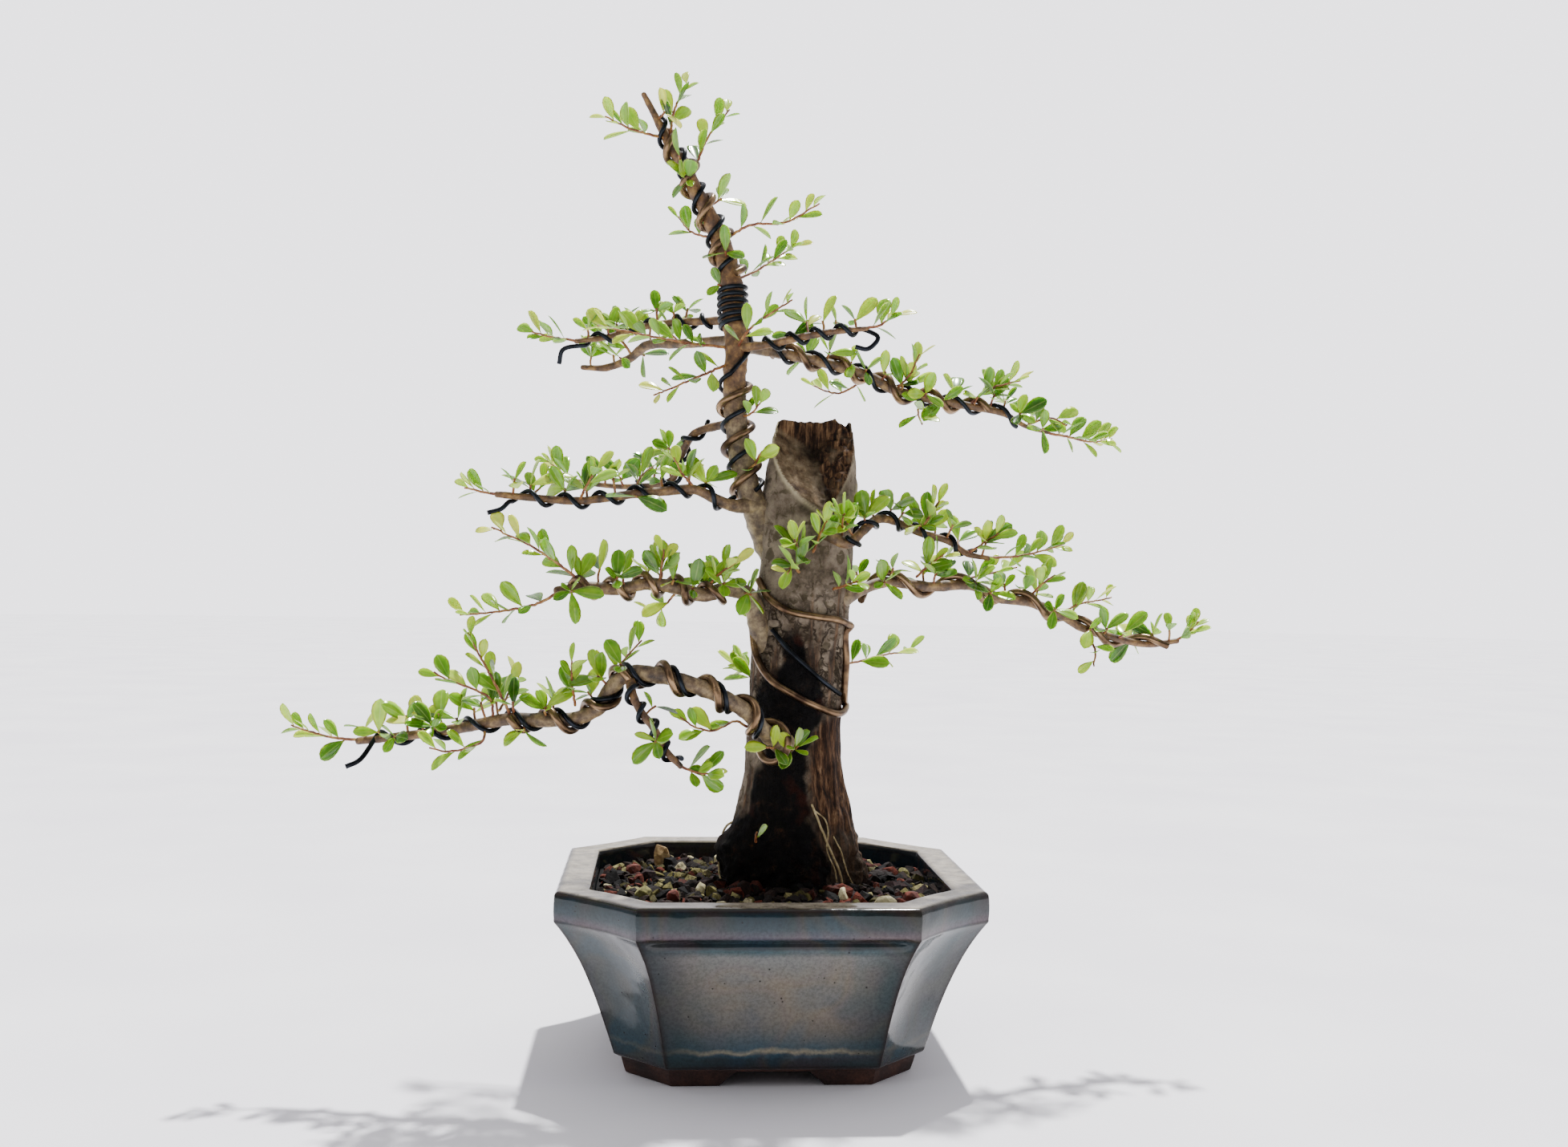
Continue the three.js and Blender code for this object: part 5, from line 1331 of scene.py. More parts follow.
def trunk_point(z, angle, extra=0.0):
    """A point on the trunk's bark, or further out by extra."""
    z, angle = np.asarray(z, float), np.asarray(angle, float)
    fade = np.exp(-np.maximum(z - 78, 0) / 22)
    lobes = 1 + 0.09 * fade * np.cos(5 * angle + 0.9) + 0.025 * np.cos(3 * angle + 0.6)
    radius = np.interp(z, TRUNK_FINE[:, 0], TRUNK_FINE[:, 2]) * lobes + extra
    middle = np.interp(z, TRUNK_FINE[:, 0], TRUNK_FINE[:, 1])
    across = radius * TRUNK_DEPTH * np.sin(angle)
    return np.stack([middle + radius * np.cos(angle), across, z + 0 * angle], axis=-1)


def plane_gap(points, a, b, c):
    """Signed distance of points from the plane through three corners of the notch, and its normal."""
    a, b, c = (np.array(NOTCH[name], float) for name in (a, b, c))
    normal = unit(np.cross(b - a, c - a))
    return (points - a) @ normal, normal


def build_trunk(sizes):
    sides = 110
    angle = np.linspace(0, 2 * np.pi, sides, endpoint=False)
    rings = np.array([trunk_point(np.full(sides, z), angle) for z in np.arange(60, 308.1, 2)])
    trunk = make_piece("trunk.bark", *skin(rings), (make_trunk_bark(),))
    cut(trunk, *hull(list(NOTCH.values())))
    remesh = trunk.modifiers.new("even", "REMESH")
    remesh.mode, remesh.voxel_size = "VOXEL", sizes.voxel
    settle(trunk)
    shape_trunk(trunk.data, sizes.relief)
    trunk.data.shade_smooth()
    place(trunk, "trunk_bark", "trunk")
    build_roots()


def build_roots():
    """Fine pale roots that run down the trunk's base into the soil, some of them looping off it."""
    finish = make_stone_finish("bare_root", [(0.35, "#6d5a3c"), (0.5, "#a8966c"), (0.7, "#cdbf98")])
    strands = []
    for radius, run in ROOTS:
        turn, height, stand = np.array(run, float).T
        line = smooth_line(trunk_point(height, 2 * np.pi * turn, stand + 0.8), 1)
        line = line + 0.25 * np.stack([rough(line, 4, seed) for seed in (41, 42, 43)], axis=1)
        strands.append(tube(line, np.full(len(line), radius), 7))
    roots = make_piece("trunk.roots", *gather(strands), (finish,))
    place(roots, "trunk_bark")


def shape_trunk(mesh, relief):
    """Moves the trunk's points to show its bark, crust, ribs, callus and sawn hollow, and marks them."""
    points, normals = read_points(mesh)
    z = points[:, 2]
    middle = np.interp(z, TRUNK_FINE[:, 0], TRUNK_FINE[:, 1])
    half = np.interp(z, TRUNK_FINE[:, 0], TRUNK_FINE[:, 2])
    across = (points[:, 0] - middle) / half
    angle = np.arctan2(points[:, 1] / TRUNK_DEPTH, points[:, 0] - middle)
    front = ease(0.15, -0.35, points[:, 1] / half)
    wander = 0.25 * rough(points, 12, 1) + 0.12 * rough(points, 4, 2)

    back_gap, back_normal = plane_gap(points, "valley_back", "top_right_back", "left_back")
    left_gap, left_normal = plane_gap(points, "valley_front", "left_front", "left_back")
    right_gap, right_normal = plane_gap(points, "valley_front", "right_back", "right_front")
    facing = [np.abs(normals @ normal) for normal in (back_normal, left_normal, right_normal)]
    in_notch = z > 256
    back = in_notch * (np.abs(back_gap) < 1.3) * ease(0.6, 0.85, facing[0])
    left = in_notch * (np.abs(left_gap) < 1.3) * ease(0.6, 0.85, facing[1])
    right = in_notch * (np.abs(right_gap) < 1.3) * ease(0.6, 0.85, facing[2])
    heart = np.clip(back + left + right, 0, 1)
    top = ease(304, 307, z) * (normals[:, 2] > 0.5)
    heart = np.maximum(heart, top)
    bark = 1 - heart
    valley = np.linalg.norm(points - NOTCH["valley_back"], axis=1)
    crease = np.maximum(np.abs(left_gap), np.abs(right_gap))

    left_edge = np.interp(
        z, [80, 100, 118, 140, 160, 176, 190], [-1.3, -1.25, -0.95, -0.75, -0.85, -0.78, -0.3],
    )
    right_edge = np.interp(z, [80, 100, 125, 150, 170, 186, 200], [0.6, 0.42, 0.25, 0.42, 0.5, 0.4, -0.1])
    wet = ease(-0.07, 0.1, across + wander * 0.8 - left_edge)
    wet = wet * ease(-0.07, 0.1, right_edge - across + wander * 0.8)
    wet *= front * ease(212, 196, z + 14 * wander)
    low = ease(112, 92, z + 22 * wander)
    wet = np.clip(np.maximum(wet, low * (1 - 0.55 * ease(0.25, 0.6, across))), 0, 1) * bark
    fibre_area = ease(0.05, 0.35, across + 0.5 * wander) * ease(178, 158, z + 20 * wander)
    streak = ease(0.1, 0.5, rough(np.column_stack([angle * 9, 0 * z, z / 30]), 1.0, 6))
    streak = streak * ease(235, 215, z) * 0.8
    fibre = np.clip(np.maximum(fibre_area, streak * front), 0, 1) * bark * (1 - 0.8 * wet)

    stretched = points * [1, 1, 0.14]
    push = 0.75 * rough(points, 15, 10) + 0.3 * rough(points, 5, 11) + 0.1 * rough(points, 1.9, 12)
    push += fibre_area * (0.95 * rough(stretched, 3.4, 13) + 0.4 * rough(stretched, 1.6, 14))
    crust = np.maximum(low, 0.6 * wet)
    push += low * (1.7 * rough(points, 7, 15) + 1.3 * rough(points, 3.2, 27))
    push += crust * (0.5 * rough(points, 6, 28) + 0.7 * rough(points, 2.6, 16) + 0.4 * rough(points, 1.5, 17))
    knob = bell(points[:, 0] + 17, 9) * bell(points[:, 1] + 6, 13) * bell(z - 96, 11)
    push += 7.5 * knob
    recess = bell(across + 0.12 + (z - 196) * 0.02, 0.2) * bell(z - 194, 9) * front
    push -= 2.8 * recess
    swell = bell(angle + 2.6, 0.5) * bell(z - 244, 20)
    push += 1.5 * swell
    push *= bark
    split = back * (0.9 * rough(points * [1, 0.3, 0.05], 1.7, 18) + 0.3 * rough(points, 2.2, 19))
    crumble = right * (1.5 * rough(points, 4, 20) + 1.1 * rough(points, 1.9, 21))
    smooth_face = left * (0.6 * rough(points, 5, 22) + 0.25 * rough(points, 2, 24))
    lip = bark * in_notch * bell(left_gap, 1.7) * (points[:, 1] < 6)
    rim = bark * in_notch * bell(right_gap, 1.8) * 0.6
    push += (split + crumble + smooth_face) + 1.3 * lip + 0.8 * rim
    moved = points + normals * (push * relief)[:, None]
    jag = 1.5 * rough(points * [1, 0.4, 0], 2.4, 23) * (1 + 1.4 * ease(28, 36, points[:, 0])) + 0.6
    moved[:, 2] += ease(303, 307, z) * jag
    move_points(mesh, moved)
    cracked = ease(246, 222, z) * ease(-0.3, 0.2, rough(points, 24, 25) + 0.4 * across) * (1 - fibre)
    tan = left * (0.7 + 0.35 * rough(points, 4, 26)) + right * ease(0.1, 0.9, rough(points, 4, 29)) * 0.5
    write_fields(mesh, {
        # Adding recess also darkens the dent pushed into the trunk's front to the wet bark's black.
        "wet": np.clip(wet + recess, 0, 1),
        "fibre": fibre,
        "heart": heart,
        "tan": tan,
        # deep is a painted shade: near-black in the notch's valley and along its crease.
        "deep": np.maximum(0.9 * bell(valley, 9), 0.6 * bell(crease, 2.6)) * heart,
        "cracked": np.clip(cracked, 0, 1) * bark,
        "callus": np.clip(lip * 0.9 + rim * 0.3, 0, 1),
    })


# ---------------- limbs


def limb_skin(limb, collar):
    """A limb with a swollen collar at its foot, faint knots and bark, as points and faces."""
    share = np.linspace(0, 1, len(limb.line))
    distance = share * limb.length
    radii = limb.radii + collar * np.exp(-distance / 9)
    knots = bell((distance % 11) - 5.5, 1.3) * 0.07
    sides = 22 if limb.radii[0] > 3.5 else 14
    points, faces = tube(limb.line, radii * (1 + knots), sides)
    middle = np.vstack([np.repeat(limb.line[:1], 3, axis=0), limb.line, np.repeat(limb.line[-1:], 3, axis=0)])
    middle = np.vstack([np.repeat(middle, sides, axis=0), limb.line[:1], limb.line[-1:]])
    size = np.linalg.norm(points - middle, axis=1)
    lumps = 0.07 * rough(points, 7, 31) + 0.05 * rough(points, 2.4, 32)
    return middle + (points - middle) * (1 + lumps)[:, None], faces, size


def build_limbs(sizes):
    bark = make_branch_bark()
    side_share, leader_share = 0.35, 2.2
    for name in LIMBS:
        limb = Limb(name)
        collar = sizes.collar / MM * (1 if name in FROM_TRUNK else side_share)
        if name == "leader":
            collar *= leader_share
        points, faces, size = limb_skin(limb, collar)
        young = 1 - ease(1.6, 4.4, size)
        if name == "leader":
            young = np.maximum(young, ease(295, 335, points[:, 2]))
        piece = make_piece(name + ".bark", points, faces, (bark,), young=young)
        place(piece, "branch_bark", name)


# ---------------- wires


def new_wire_tree():
    """Sweeps a round wire along a run of edges."""
    tree, start, end = new_geometry_tree("round_wire", {
        "Diameter": ("Float", 0.003), "Sides": ("Int", 14), "Material": ("Material", None),
    })
    line = add(tree, "GeometryNodeMeshToCurve", {"Mesh": start})
    radius = add(tree, "ShaderNodeMath", {0: (start, "Diameter"), 1: 0.5}, operation="MULTIPLY")
    section = add(
        tree, "GeometryNodeCurvePrimitiveCircle", {"Resolution": (start, "Sides"), "Radius": radius},
    )
    swept = add(tree, "GeometryNodeCurveToMesh", {"Curve": line, "Profile Curve": section, "Fill Caps": True})
    smooth = add(tree, "GeometryNodeSetShadeSmooth", {"Geometry": swept})
    real = add(tree, "GeometryNodeRealizeInstances", {0: smooth})
    finish = add(tree, "GeometryNodeSetMaterial", {"Geometry": real, "Material": (start, "Material")})
    connect(end, {0: finish})
    return tree


def with_free_end(line, tail):
    """A wire's line that runs on smoothly through the points of its free end."""
    free = smooth_line([line[-3], line[-1], *tail], CURVE_STEP)
    return np.vstack([line[:-2], free[1:]])


def winding_line(limb, diameter, phase, windings, tail, steps, loose):
    """The middle line of a wire wound on a limb, with its free end. Its first winding stands loose."""
    shares, turns = np.array(windings, float).T
    turn = np.linspace(0, turns[-1], round(turns[-1] * steps) + 1)
    share = np.interp(turn, turns, shares)
    distance = limb.sample(limb.radii, share) * 1.04 + diameter / 2 + 0.1 + loose * bell(turn, 0.6)
    out = limb.outward(share, 2 * np.pi * (turn + phase))
    line = limb.sample(limb.line, share) + out * distance[:, None]
    return with_free_end(line, tail) if tail else line


def build_wires(sizes):
    tree = new_wire_tree()
    finishes = {
        # The brown finish's paler colour is partly a painted highlight.
        BROWN: make_wire_finish("brown_anodised_aluminium", "#3f2e22", "#9a7d5c", 0.3),
        BLACK: make_wire_finish("black_anodised_aluminium", "#0d0f12", "#2b3037", 0.34),
    }
    diameters = {BROWN: sizes.brown, BLACK: sizes.black}
    limbs = {name: Limb(name) for name in LIMBS}
    lines = {}
    for name, (limb, kind, phase, windings, tail) in BRANCH_WIRES.items():
        loose = LOOSE_START.get(name, 0)
        line = winding_line(limbs[limb], diameters[kind] / MM, phase, windings, tail, sizes.steps, loose)
        lines[name] = (kind, line)
    for name, (kind, run) in TRUNK_WIRES.items():
        turn, height = np.array(run, float).T
        over = diameters[kind] / MM / 2 + 0.9
        line = smooth_line(trunk_point(height, 2 * np.pi * turn, over), CURVE_STEP)
        if name in TRUNK_WIRE_ENDS:
            line = with_free_end(line, TRUNK_WIRE_ENDS[name])
        lines[name] = (kind, line)
    for name, (kind, line) in lines.items():
        edges = [(i, i + 1) for i in range(len(line) - 1)]
        piece = make_piece(name + ".drawn", line, [], edges=edges)
        run_tree(piece, tree, Diameter=diameters[kind], Sides=14, Material=finishes[kind])
        place(piece, kind, name)


# ---------------- leaves

GOLDEN_ANGLE = math.pi * (3 - math.sqrt(5))
BLADE_OUTLINE = ([0, 0.08, 0.22, 0.42, 0.62, 0.8, 0.93, 1], [0.09, 0.15, 0.45, 0.82, 1, 0.92, 0.6, 0.08])
# Each kind's width, cup and droop, as shares of its length.
BLADE_KINDS = [(0.42, 0.1, 0.1), (0.5, 0.16, 0.03), (0.56, 0.12, 0.16), (0.46, 0.24, -0.06)]


def make_blade(name, width, cup, droop):
    """A leaf a metre long: a thin closed spoon-shaped shell along +Y that faces +Z, with its underside
    one U further on."""
    rows, columns, thick = 8, 5, 0.035
    u_width, u_under = 0.998, 1.001
    share, wide = (np.array(column) for column in BLADE_OUTLINE)
    wide = wide * width / 2
    side = np.linspace(-1, 1, columns)
    v, u = (grid.ravel() for grid in np.meshgrid(share, side, indexing="ij"))
    x = u * np.repeat(wide, columns)
    z = cup * width * u**2 * np.repeat(wide, columns) / wide.max() - droop * v**2
    lift = thick / 2 * (1 - u**2) * (0.5 + 0.5 * np.sin(np.pi * v))
    rise = np.column_stack([x, v, z + lift])
    fall = np.column_stack([x, v, z - lift])
    top = np.arange(rows * columns).reshape(rows, columns)
    low = top.copy()
    inner = np.zeros((rows, columns), bool)
    inner[:, 1:-1] = True
    low[inner] = rows * columns + np.arange(inner.sum())
    points = np.vstack([rise, fall[inner.ravel()]])
    faces, uvs = [], []
    for row in range(rows - 1):
        for column in range(columns - 1):
            cell = [(row, column), (row, column + 1), (row + 1, column + 1), (row + 1, column)]
            faces.append([int(top[at]) for at in cell])
            uvs += [((side[c] + 1) / 2 * u_width, share[r]) for r, c in cell]
            faces.append([int(low[at]) for at in cell[::-1]])
            uvs += [((side[c] + 1) / 2 * u_width + u_under, share[r]) for r, c in cell[::-1]]
    for row, flip in ((0, False), (rows - 1, True)):
        rim = [int(at) for at in top[row]] + [int(at) for at in low[row, 1:-1][::-1]]
        faces.append(rim if flip else rim[::-1])
        uvs += [(0.5, share[row])] * len(rim)
    blade = make_piece(name, points / MM, faces)
    layer = blade.data.uv_layers.new(name="UVMap")
    layer.data.foreach_set("uv", np.array(uvs, np.float32).ravel())
    return blade


def new_leaf_tree():
    """Puts a leaf on every point, as its attributes kind, turn, size and tint say, and joins the stems."""
    tree, start, end = new_geometry_tree("leaves_on_stems", {
        "Blades": ("Collection", None), "Stems": ("Object", None), "Growth": ("Float", 1.0),
        "Leaf Material": ("Material", None), "Stem Material": ("Material", None),
    })
    points = add(tree, "GeometryNodeMeshToPoints", {"Mesh": start})
    blades = add(
        tree, "GeometryNodeCollectionInfo",
        {"Collection": (start, "Blades"), "Separate Children": True, "Reset Children": True},
    )
    kind = add(tree, "GeometryNodeInputNamedAttribute", {"Name": "kind"}, data_type="INT")
    turn = add(tree, "GeometryNodeInputNamedAttribute", {"Name": "turn"}, data_type="FLOAT_VECTOR")
    size = add(tree, "GeometryNodeInputNamedAttribute", {"Name": "size"}, data_type="FLOAT")
    grown = add(tree, "ShaderNodeMath", {0: size, 1: (start, "Growth")}, operation="MULTIPLY")
    leaves = add(
        tree, "GeometryNodeInstanceOnPoints",
        {"Points": points, "Instance": blades, "Pick Instance": True, "Instance Index": kind,
         "Rotation": turn, "Scale": grown},
    )
    stems = add(tree, "GeometryNodeObjectInfo", {"Object": (start, "Stems")})
    both = add(tree, "GeometryNodeJoinGeometry")
    tree.links.new(leaves.outputs[0], both.inputs[0])
    tree.links.new(stems.outputs["Geometry"], both.inputs[0])
    real = add(tree, "GeometryNodeRealizeInstances", {0: both})
    woody = add(tree, "GeometryNodeInputNamedAttribute", {"Name": "woody"}, data_type="BOOLEAN")
    leafy = add(tree, "FunctionNodeBooleanMath", {0: woody}, operation="NOT")
    green = add(
        tree, "GeometryNodeSetMaterial",
        {"Geometry": real, "Selection": leafy, "Material": (start, "Leaf Material")},
    )
    brown = add(
        tree, "GeometryNodeSetMaterial",
        {"Geometry": green, "Selection": woody, "Material": (start, "Stem Material")},
    )
    connect(end, {0: brown})
    return tree


class Foliage:
    """The stems of one piece and the places of the leaves on them."""

    def __init__(self, seed):
        self.rng = np.random.default_rng(seed)
        self.stems = []
        self.places, self.turns, self.sizes, self.tints, self.kinds = [], [], [], [], []

    def leaf(self, at, direction, face, length, tint):
        forward = unit(direction)
        across = unit(np.cross(forward, face))
        turned = Matrix(np.column_stack([across, forward, np.cross(across, forward)]).tolist())
        self.places.append(at)
        self.turns.append(list(turned.to_euler()))
        self.sizes.append(length * MM)
        self.tints.append(tint)
        self.kinds.append(int(self.rng.integers(len(BLADE_KINDS))))

    def face(self, out):
        """Which way a leaf's upper side looks: up, towards the light, and a little to its own side."""
        return np.array([0, -0.85, 0.9]) - 0.35 * out + self.rng.normal(0, 0.45, 3)

    def stem(self, path, leaves, radius=0.8, start=0.16, growth=1.0):
        """A stem with leaves in a spiral along it, closer together at its tip."""
        line = smooth_line(path, 1.5)
        wobble = self.rng.normal(0, 0.12, line.shape)
        wobble[0] = 0
        line = line + wobble
        self.stems.append(tube(line, np.linspace(radius, 0.42, len(line)), 7))
        tangents, normals, binormals = frames_along(line)
        phase = self.rng.uniform(0, 2 * math.pi)
        for i in range(leaves):
            share = start + (1 - start) * ((i + 0.6) / leaves) ** 0.85
            index = min(int(share * (len(line) - 1)), len(line) - 1)
            angle = phase + i * GOLDEN_ANGLE
            out = normals[index] * math.cos(angle) + binormals[index] * math.sin(angle)
            out = unit(out + [0, -0.1, 0.3])
            direction = 0.8 * out + (0.35 + 0.6 * share) * tangents[index] + [0, 0, 0.22]
            length = self.rng.uniform(11, 17) * growth * (1 - 0.25 * share**2)
            tint = np.clip(0.25 + 0.5 * share + self.rng.normal(0, 0.17), 0, 1)
            self.leaf(line[index] + 0.5 * out, direction, self.face(out), length, tint)

    def spur(self, limb, share):
        """A short spur on a limb, mostly on its upper side, with two to five leaves."""
        angles = self.rng.uniform(0, 2 * math.pi, 5)
        outs = [limb.outward(np.array(share), np.array(angle)) for angle in angles]
        out = max(outs, key=lambda way: 0.8 * way[2] - 0.35 * way[1] + self.rng.uniform(0, 1.2))
        foot = limb.sample(limb.line, share) + out * limb.sample(limb.radii, share) * 0.8
        reach = self.rng.uniform(2, 8)
        tip = foot + out * reach + np.array([0, 0, 1.2])
        bend = (foot + tip) / 2 + self.rng.normal(0, 0.3, 3)
        self.stems.append(tube(smooth_line([foot, bend, tip], 1.3), 0.6, 6))
        along_limb = limb.sample(limb.tangents, share)
        count = int(self.rng.integers(2, 6))
        phase = self.rng.uniform(0, 2 * math.pi)
        beside = unit(np.cross(out, along_limb))
        for i in range(count):
            angle = phase + 2 * math.pi * i / count
            spread = along_limb * math.cos(angle) + beside * math.sin(angle)
            direction = out * self.rng.uniform(0.3, 0.9) + spread * self.rng.uniform(0.6, 1.3) + [0, 0, 0.15]
            tint = np.clip(self.rng.normal(0.45, 0.22), 0, 1)
            base = tip - out * self.rng.uniform(0, 0.45) * reach
            self.leaf(base, direction, self.face(spread), self.rng.uniform(9.5, 17.5), tint)

    def grow(self, name, kit):
        """The finished piece."""
        stems = make_piece(name + "_stems", *gather(self.stems))
        stems.data.attributes.new("woody", "BOOLEAN", "POINT").data.foreach_set(
            "value", [True] * len(stems.data.vertices),
        )
        piece = make_piece(
            name, self.places, [], turn=np.array(self.turns), size=np.array(self.sizes),
            tint=np.array(self.tints), kind=np.array(self.kinds),
        )
        run_tree(
            piece, kit["tree"], Blades=kit["blades"], Stems=stems, Growth=kit["growth"],
            Leaf_Material=kit["leaf"], Stem_Material=kit["twig"],
        )
        bpy.data.objects.remove(stems)
        return piece


def build_foliage(sizes):
    blades = [make_blade(f"blade_{i}", *kind) for i, kind in enumerate(BLADE_KINDS)]
    kit = {
        "tree": new_leaf_tree(), "blades": make_stock("blades", blades), "growth": sizes.growth,
        "leaf": make_leaf_finish(), "twig": make_twig_bark(),
    }
    for seed, (name, (leaves, path)) in enumerate(SHOOTS.items()):
        foliage = Foliage(100 + seed)
        foliage.stem(path, leaves, growth=1.25 if name == "trunk_front_shoot" else 1.0)
        place(foliage.grow(name + ".leafy", kit), "leafy_shoots", name)
    for seed, name in enumerate([*LIMBS, "trunk"]):
        foliage = Foliage(200 + seed)
        for leaves, path in SPRIGS.get(name, []):
            foliage.stem(path, leaves, radius=0.7)
        if name in SPURS:
            limb = Limb(name)
            for low, high, spacing in SPURS[name]:
                count = max(1, round((high - low) * limb.length / (spacing * sizes.spur_spacing)))
                for i in range(count):
                    foliage.spur(limb, low + (high - low) * (i + foliage.rng.uniform(0.2, 0.8)) / count)
        place(foliage.grow(name + ".leaves", kit), "leafy_shoots")
    drop_stock(kit["blades"])


# ---------------- stage


FLOOR_RADIUS = 9000
SUN_FROM = (0.16, 0.42, 1.0)

# Soft boxes: place in metres, width and height in metres, and share of the set power.
SOFT_BOXES = {
    "left_box": ((-0.9, -0.75, 0.75), (0.12, 0.7), 1),
    "right_box": ((1.1, -0.5, 0.75), (0.1, 0.7), 0.6),
}
SOFT_BOX_AIM = (0, 0, 0.15)

# Camera: place in metres, direction of view, roll in radians and focal length in millimetres.
CAMERA_PLACE = (-0.0519, -0.7426, 0.225)
CAMERA_VIEW = (0.0785, 0.9969, 0.0098)
CAMERA_ROLL = 0.0171
CAMERA_LENS = 34.38


def put_in_scene(name, data):
    """An object for a lamp or the camera."""
    thing = bpy.data.objects.new(name, data)
    bpy.context.scene.collection.objects.link(thing)
    return thing


def shine_from(way):
    """The turn of a lamp whose light comes from a direction."""
    return Vector(way).to_track_quat("Z", "Y").to_euler()


def lay_floor():
    """Matt white paper: a dull, faintly uneven white."""
    finish, tree, shader = new_material("matt_white_paper", Roughness=0.9)
    where = object_place(tree)
    weave = add(tree, "ShaderNodeTexNoise", {"Vector": where, "Scale": 6.0, "Detail": 3.0})
    tint = add(tree, "ShaderNodeValToRGB", {0: weave}, stops=[(0.3, "#eceaf0"), (0.7, "#f6f5f8")])
    connect(shader, {"Base Color": tint})
    sides = 64
    angle = np.linspace(0, 2 * np.pi, sides, endpoint=False)
    circle = np.stack([np.cos(angle), np.sin(angle), 0 * angle], axis=1)
    points = np.vstack([circle * FLOOR_RADIUS, [[0, 0, 0]]])
    floor = make_piece("floor", points, [[i, (i + 1) % sides, sides] for i in range(sides)], (finish,))


def hang_sky(light):
    """The studio's walls: bright behind the tree, dim on the camera's side, and an even backdrop."""
    world = bpy.data.worlds.new("studio")
    bpy.context.scene.world = world
    world.use_nodes = True
    sky = world.node_tree
    way = add(sky, "ShaderNodeTexCoord")
    toward_back = add(
        sky, "ShaderNodeVectorMath", {0: (way, "Generated"), 1: (0.1, 0.75, 0.65)},
        operation="DOT_PRODUCT",
    )
    fill = add(
        sky, "ShaderNodeMapRange",
        {0: (toward_back, 1), 1: -0.2, 2: 0.7, 3: light.front_fill, 4: light.back_fill},
    )
    path = add(sky, "ShaderNodeLightPath")
    strength = add(
        sky, "ShaderNodeMix", {0: (path, "Is Camera Ray"), 2: fill, 3: light.backdrop},
        data_type="FLOAT",
    )
    connect(sky.nodes["Background"], {"Strength": strength, "Color": linear("#f7f5fb")})


def set_lamps(light):
    """A key light from above and behind, and a soft box on either side of the camera."""
    sun = bpy.data.lights.new("key", "SUN")
    sun.energy, sun.angle = light.key, math.radians(light.softness)
    put_in_scene("key", sun).rotation_euler = shine_from(SUN_FROM)
    for name, (at, size, share) in SOFT_BOXES.items():
        lamp = bpy.data.lights.new(name, "AREA")
        lamp.shape, lamp.size, lamp.size_y, lamp.energy = "RECTANGLE", *size, light.boxes * share
        box = put_in_scene(name, lamp)
        box.location = at
        box.rotation_euler = shine_from(Vector(at) - Vector(SOFT_BOX_AIM))


def set_camera():
    lens = bpy.data.cameras.new("camera")
    lens.lens, lens.sensor_width = CAMERA_LENS, 36
    camera = put_in_scene("camera", lens)
    forward = Vector(CAMERA_VIEW).normalized()
    level = forward.cross(Vector((0, 0, 1))).normalized()
    upright = level.cross(forward)
    right = level * math.cos(CAMERA_ROLL) + upright * math.sin(CAMERA_ROLL)
    up = upright * math.cos(CAMERA_ROLL) - level * math.sin(CAMERA_ROLL)
    turn = Matrix((right, up, -forward)).transposed().to_4x4()
    camera.matrix_world = Matrix.Translation(CAMERA_PLACE) @ turn
    bpy.context.scene.camera = camera


def build_stage(light):
    lay_floor()
    hang_sky(light)
    set_lamps(light)
    set_camera()


# ---------------- settings


def length_setting(name, description, default_mm):
    return bpy.props.FloatProperty(
        name=name, description=description, default=default_mm * MM, min=0, unit="LENGTH",
        subtype="DISTANCE",
    )


def plain_setting(name, description, default):
    return bpy.props.FloatProperty(name=name, description=description, default=default, min=0)


class BonsaiPotSettings(bpy.types.PropertyGroup):
    lip: length_setting("Rim lip", "Width of the rim's flat top", RIM_LIP)
    cove: length_setting("Corner cove", "How deep the chamfered corners are hollowed", 3.6)
    panel: length_setting("Sunk panel", "How deep the four straight faces are sunk", 0.7)
    groove: length_setting("Groove", "Depth of the groove under the rim's band", 2.8)


class BonsaiSoilSettings(bpy.types.PropertyGroup):
    spacing: length_setting("Spacing", "Least distance between two grains", 3.2)
    smallest: length_setting("Smallest grain", "Half the width of the smallest grains", 1.9)
    largest: length_setting("Largest grain", "Half the width of the largest grains", 5.8)
    seed: bpy.props.IntProperty(name="Seed", description="Another number gives another scatter", default=4)


class BonsaiWoodSettings(bpy.types.PropertyGroup):
    voxel: length_setting("Fineness", "Size of the trunk's smallest faces", 0.78)
    relief: plain_setting("Relief", "How strongly the trunk's bark stands out", 1.0)
    collar: length_setting("Collar", "How much a branch swells where it leaves the trunk", 1.6)


class BonsaiWireSettings(bpy.types.PropertyGroup):
    brown: length_setting("Brown wire", "Diameter of the brown wire", WIRE_DIAMETER[BROWN])
    black: length_setting("Black wire", "Diameter of the black wire", WIRE_DIAMETER[BLACK])
    steps: bpy.props.IntProperty(name="Steps", description="Steps in each turn of a wire", default=28, min=8)


class BonsaiLeafSettings(bpy.types.PropertyGroup):
    growth: plain_setting("Leaf size", "Factor on the leaves' drawn lengths", 0.94)
    spur_spacing: plain_setting("Spur spacing", "Factor on the distance between leafy spurs", 1.12)


class BonsaiLightSettings(bpy.types.PropertyGroup):
    key: plain_setting("Key", "Strength of the light from above and behind", 7.5)
    softness: plain_setting("Softness", "Width of the key light in degrees", 2.0)
    front_fill: plain_setting("Front fill", "Brightness of the studio on the camera's side", 0.22)
    back_fill: plain_setting("Back fill", "Brightness of the studio behind the tree", 1.3)
    backdrop: plain_setting("Backdrop", "Brightness of the backdrop that is seen", 3.0)
    boxes: plain_setting("Soft boxes", "Power of the two soft boxes in watts", 1.6)


SETTINGS = {
    "bonsai_pot": BonsaiPotSettings, "bonsai_soil": BonsaiSoilSettings, "bonsai_wood": BonsaiWoodSettings,
    "bonsai_wire": BonsaiWireSettings, "bonsai_leaf": BonsaiLeafSettings, "bonsai_light": BonsaiLightSettings,
}

# ---------------- operators


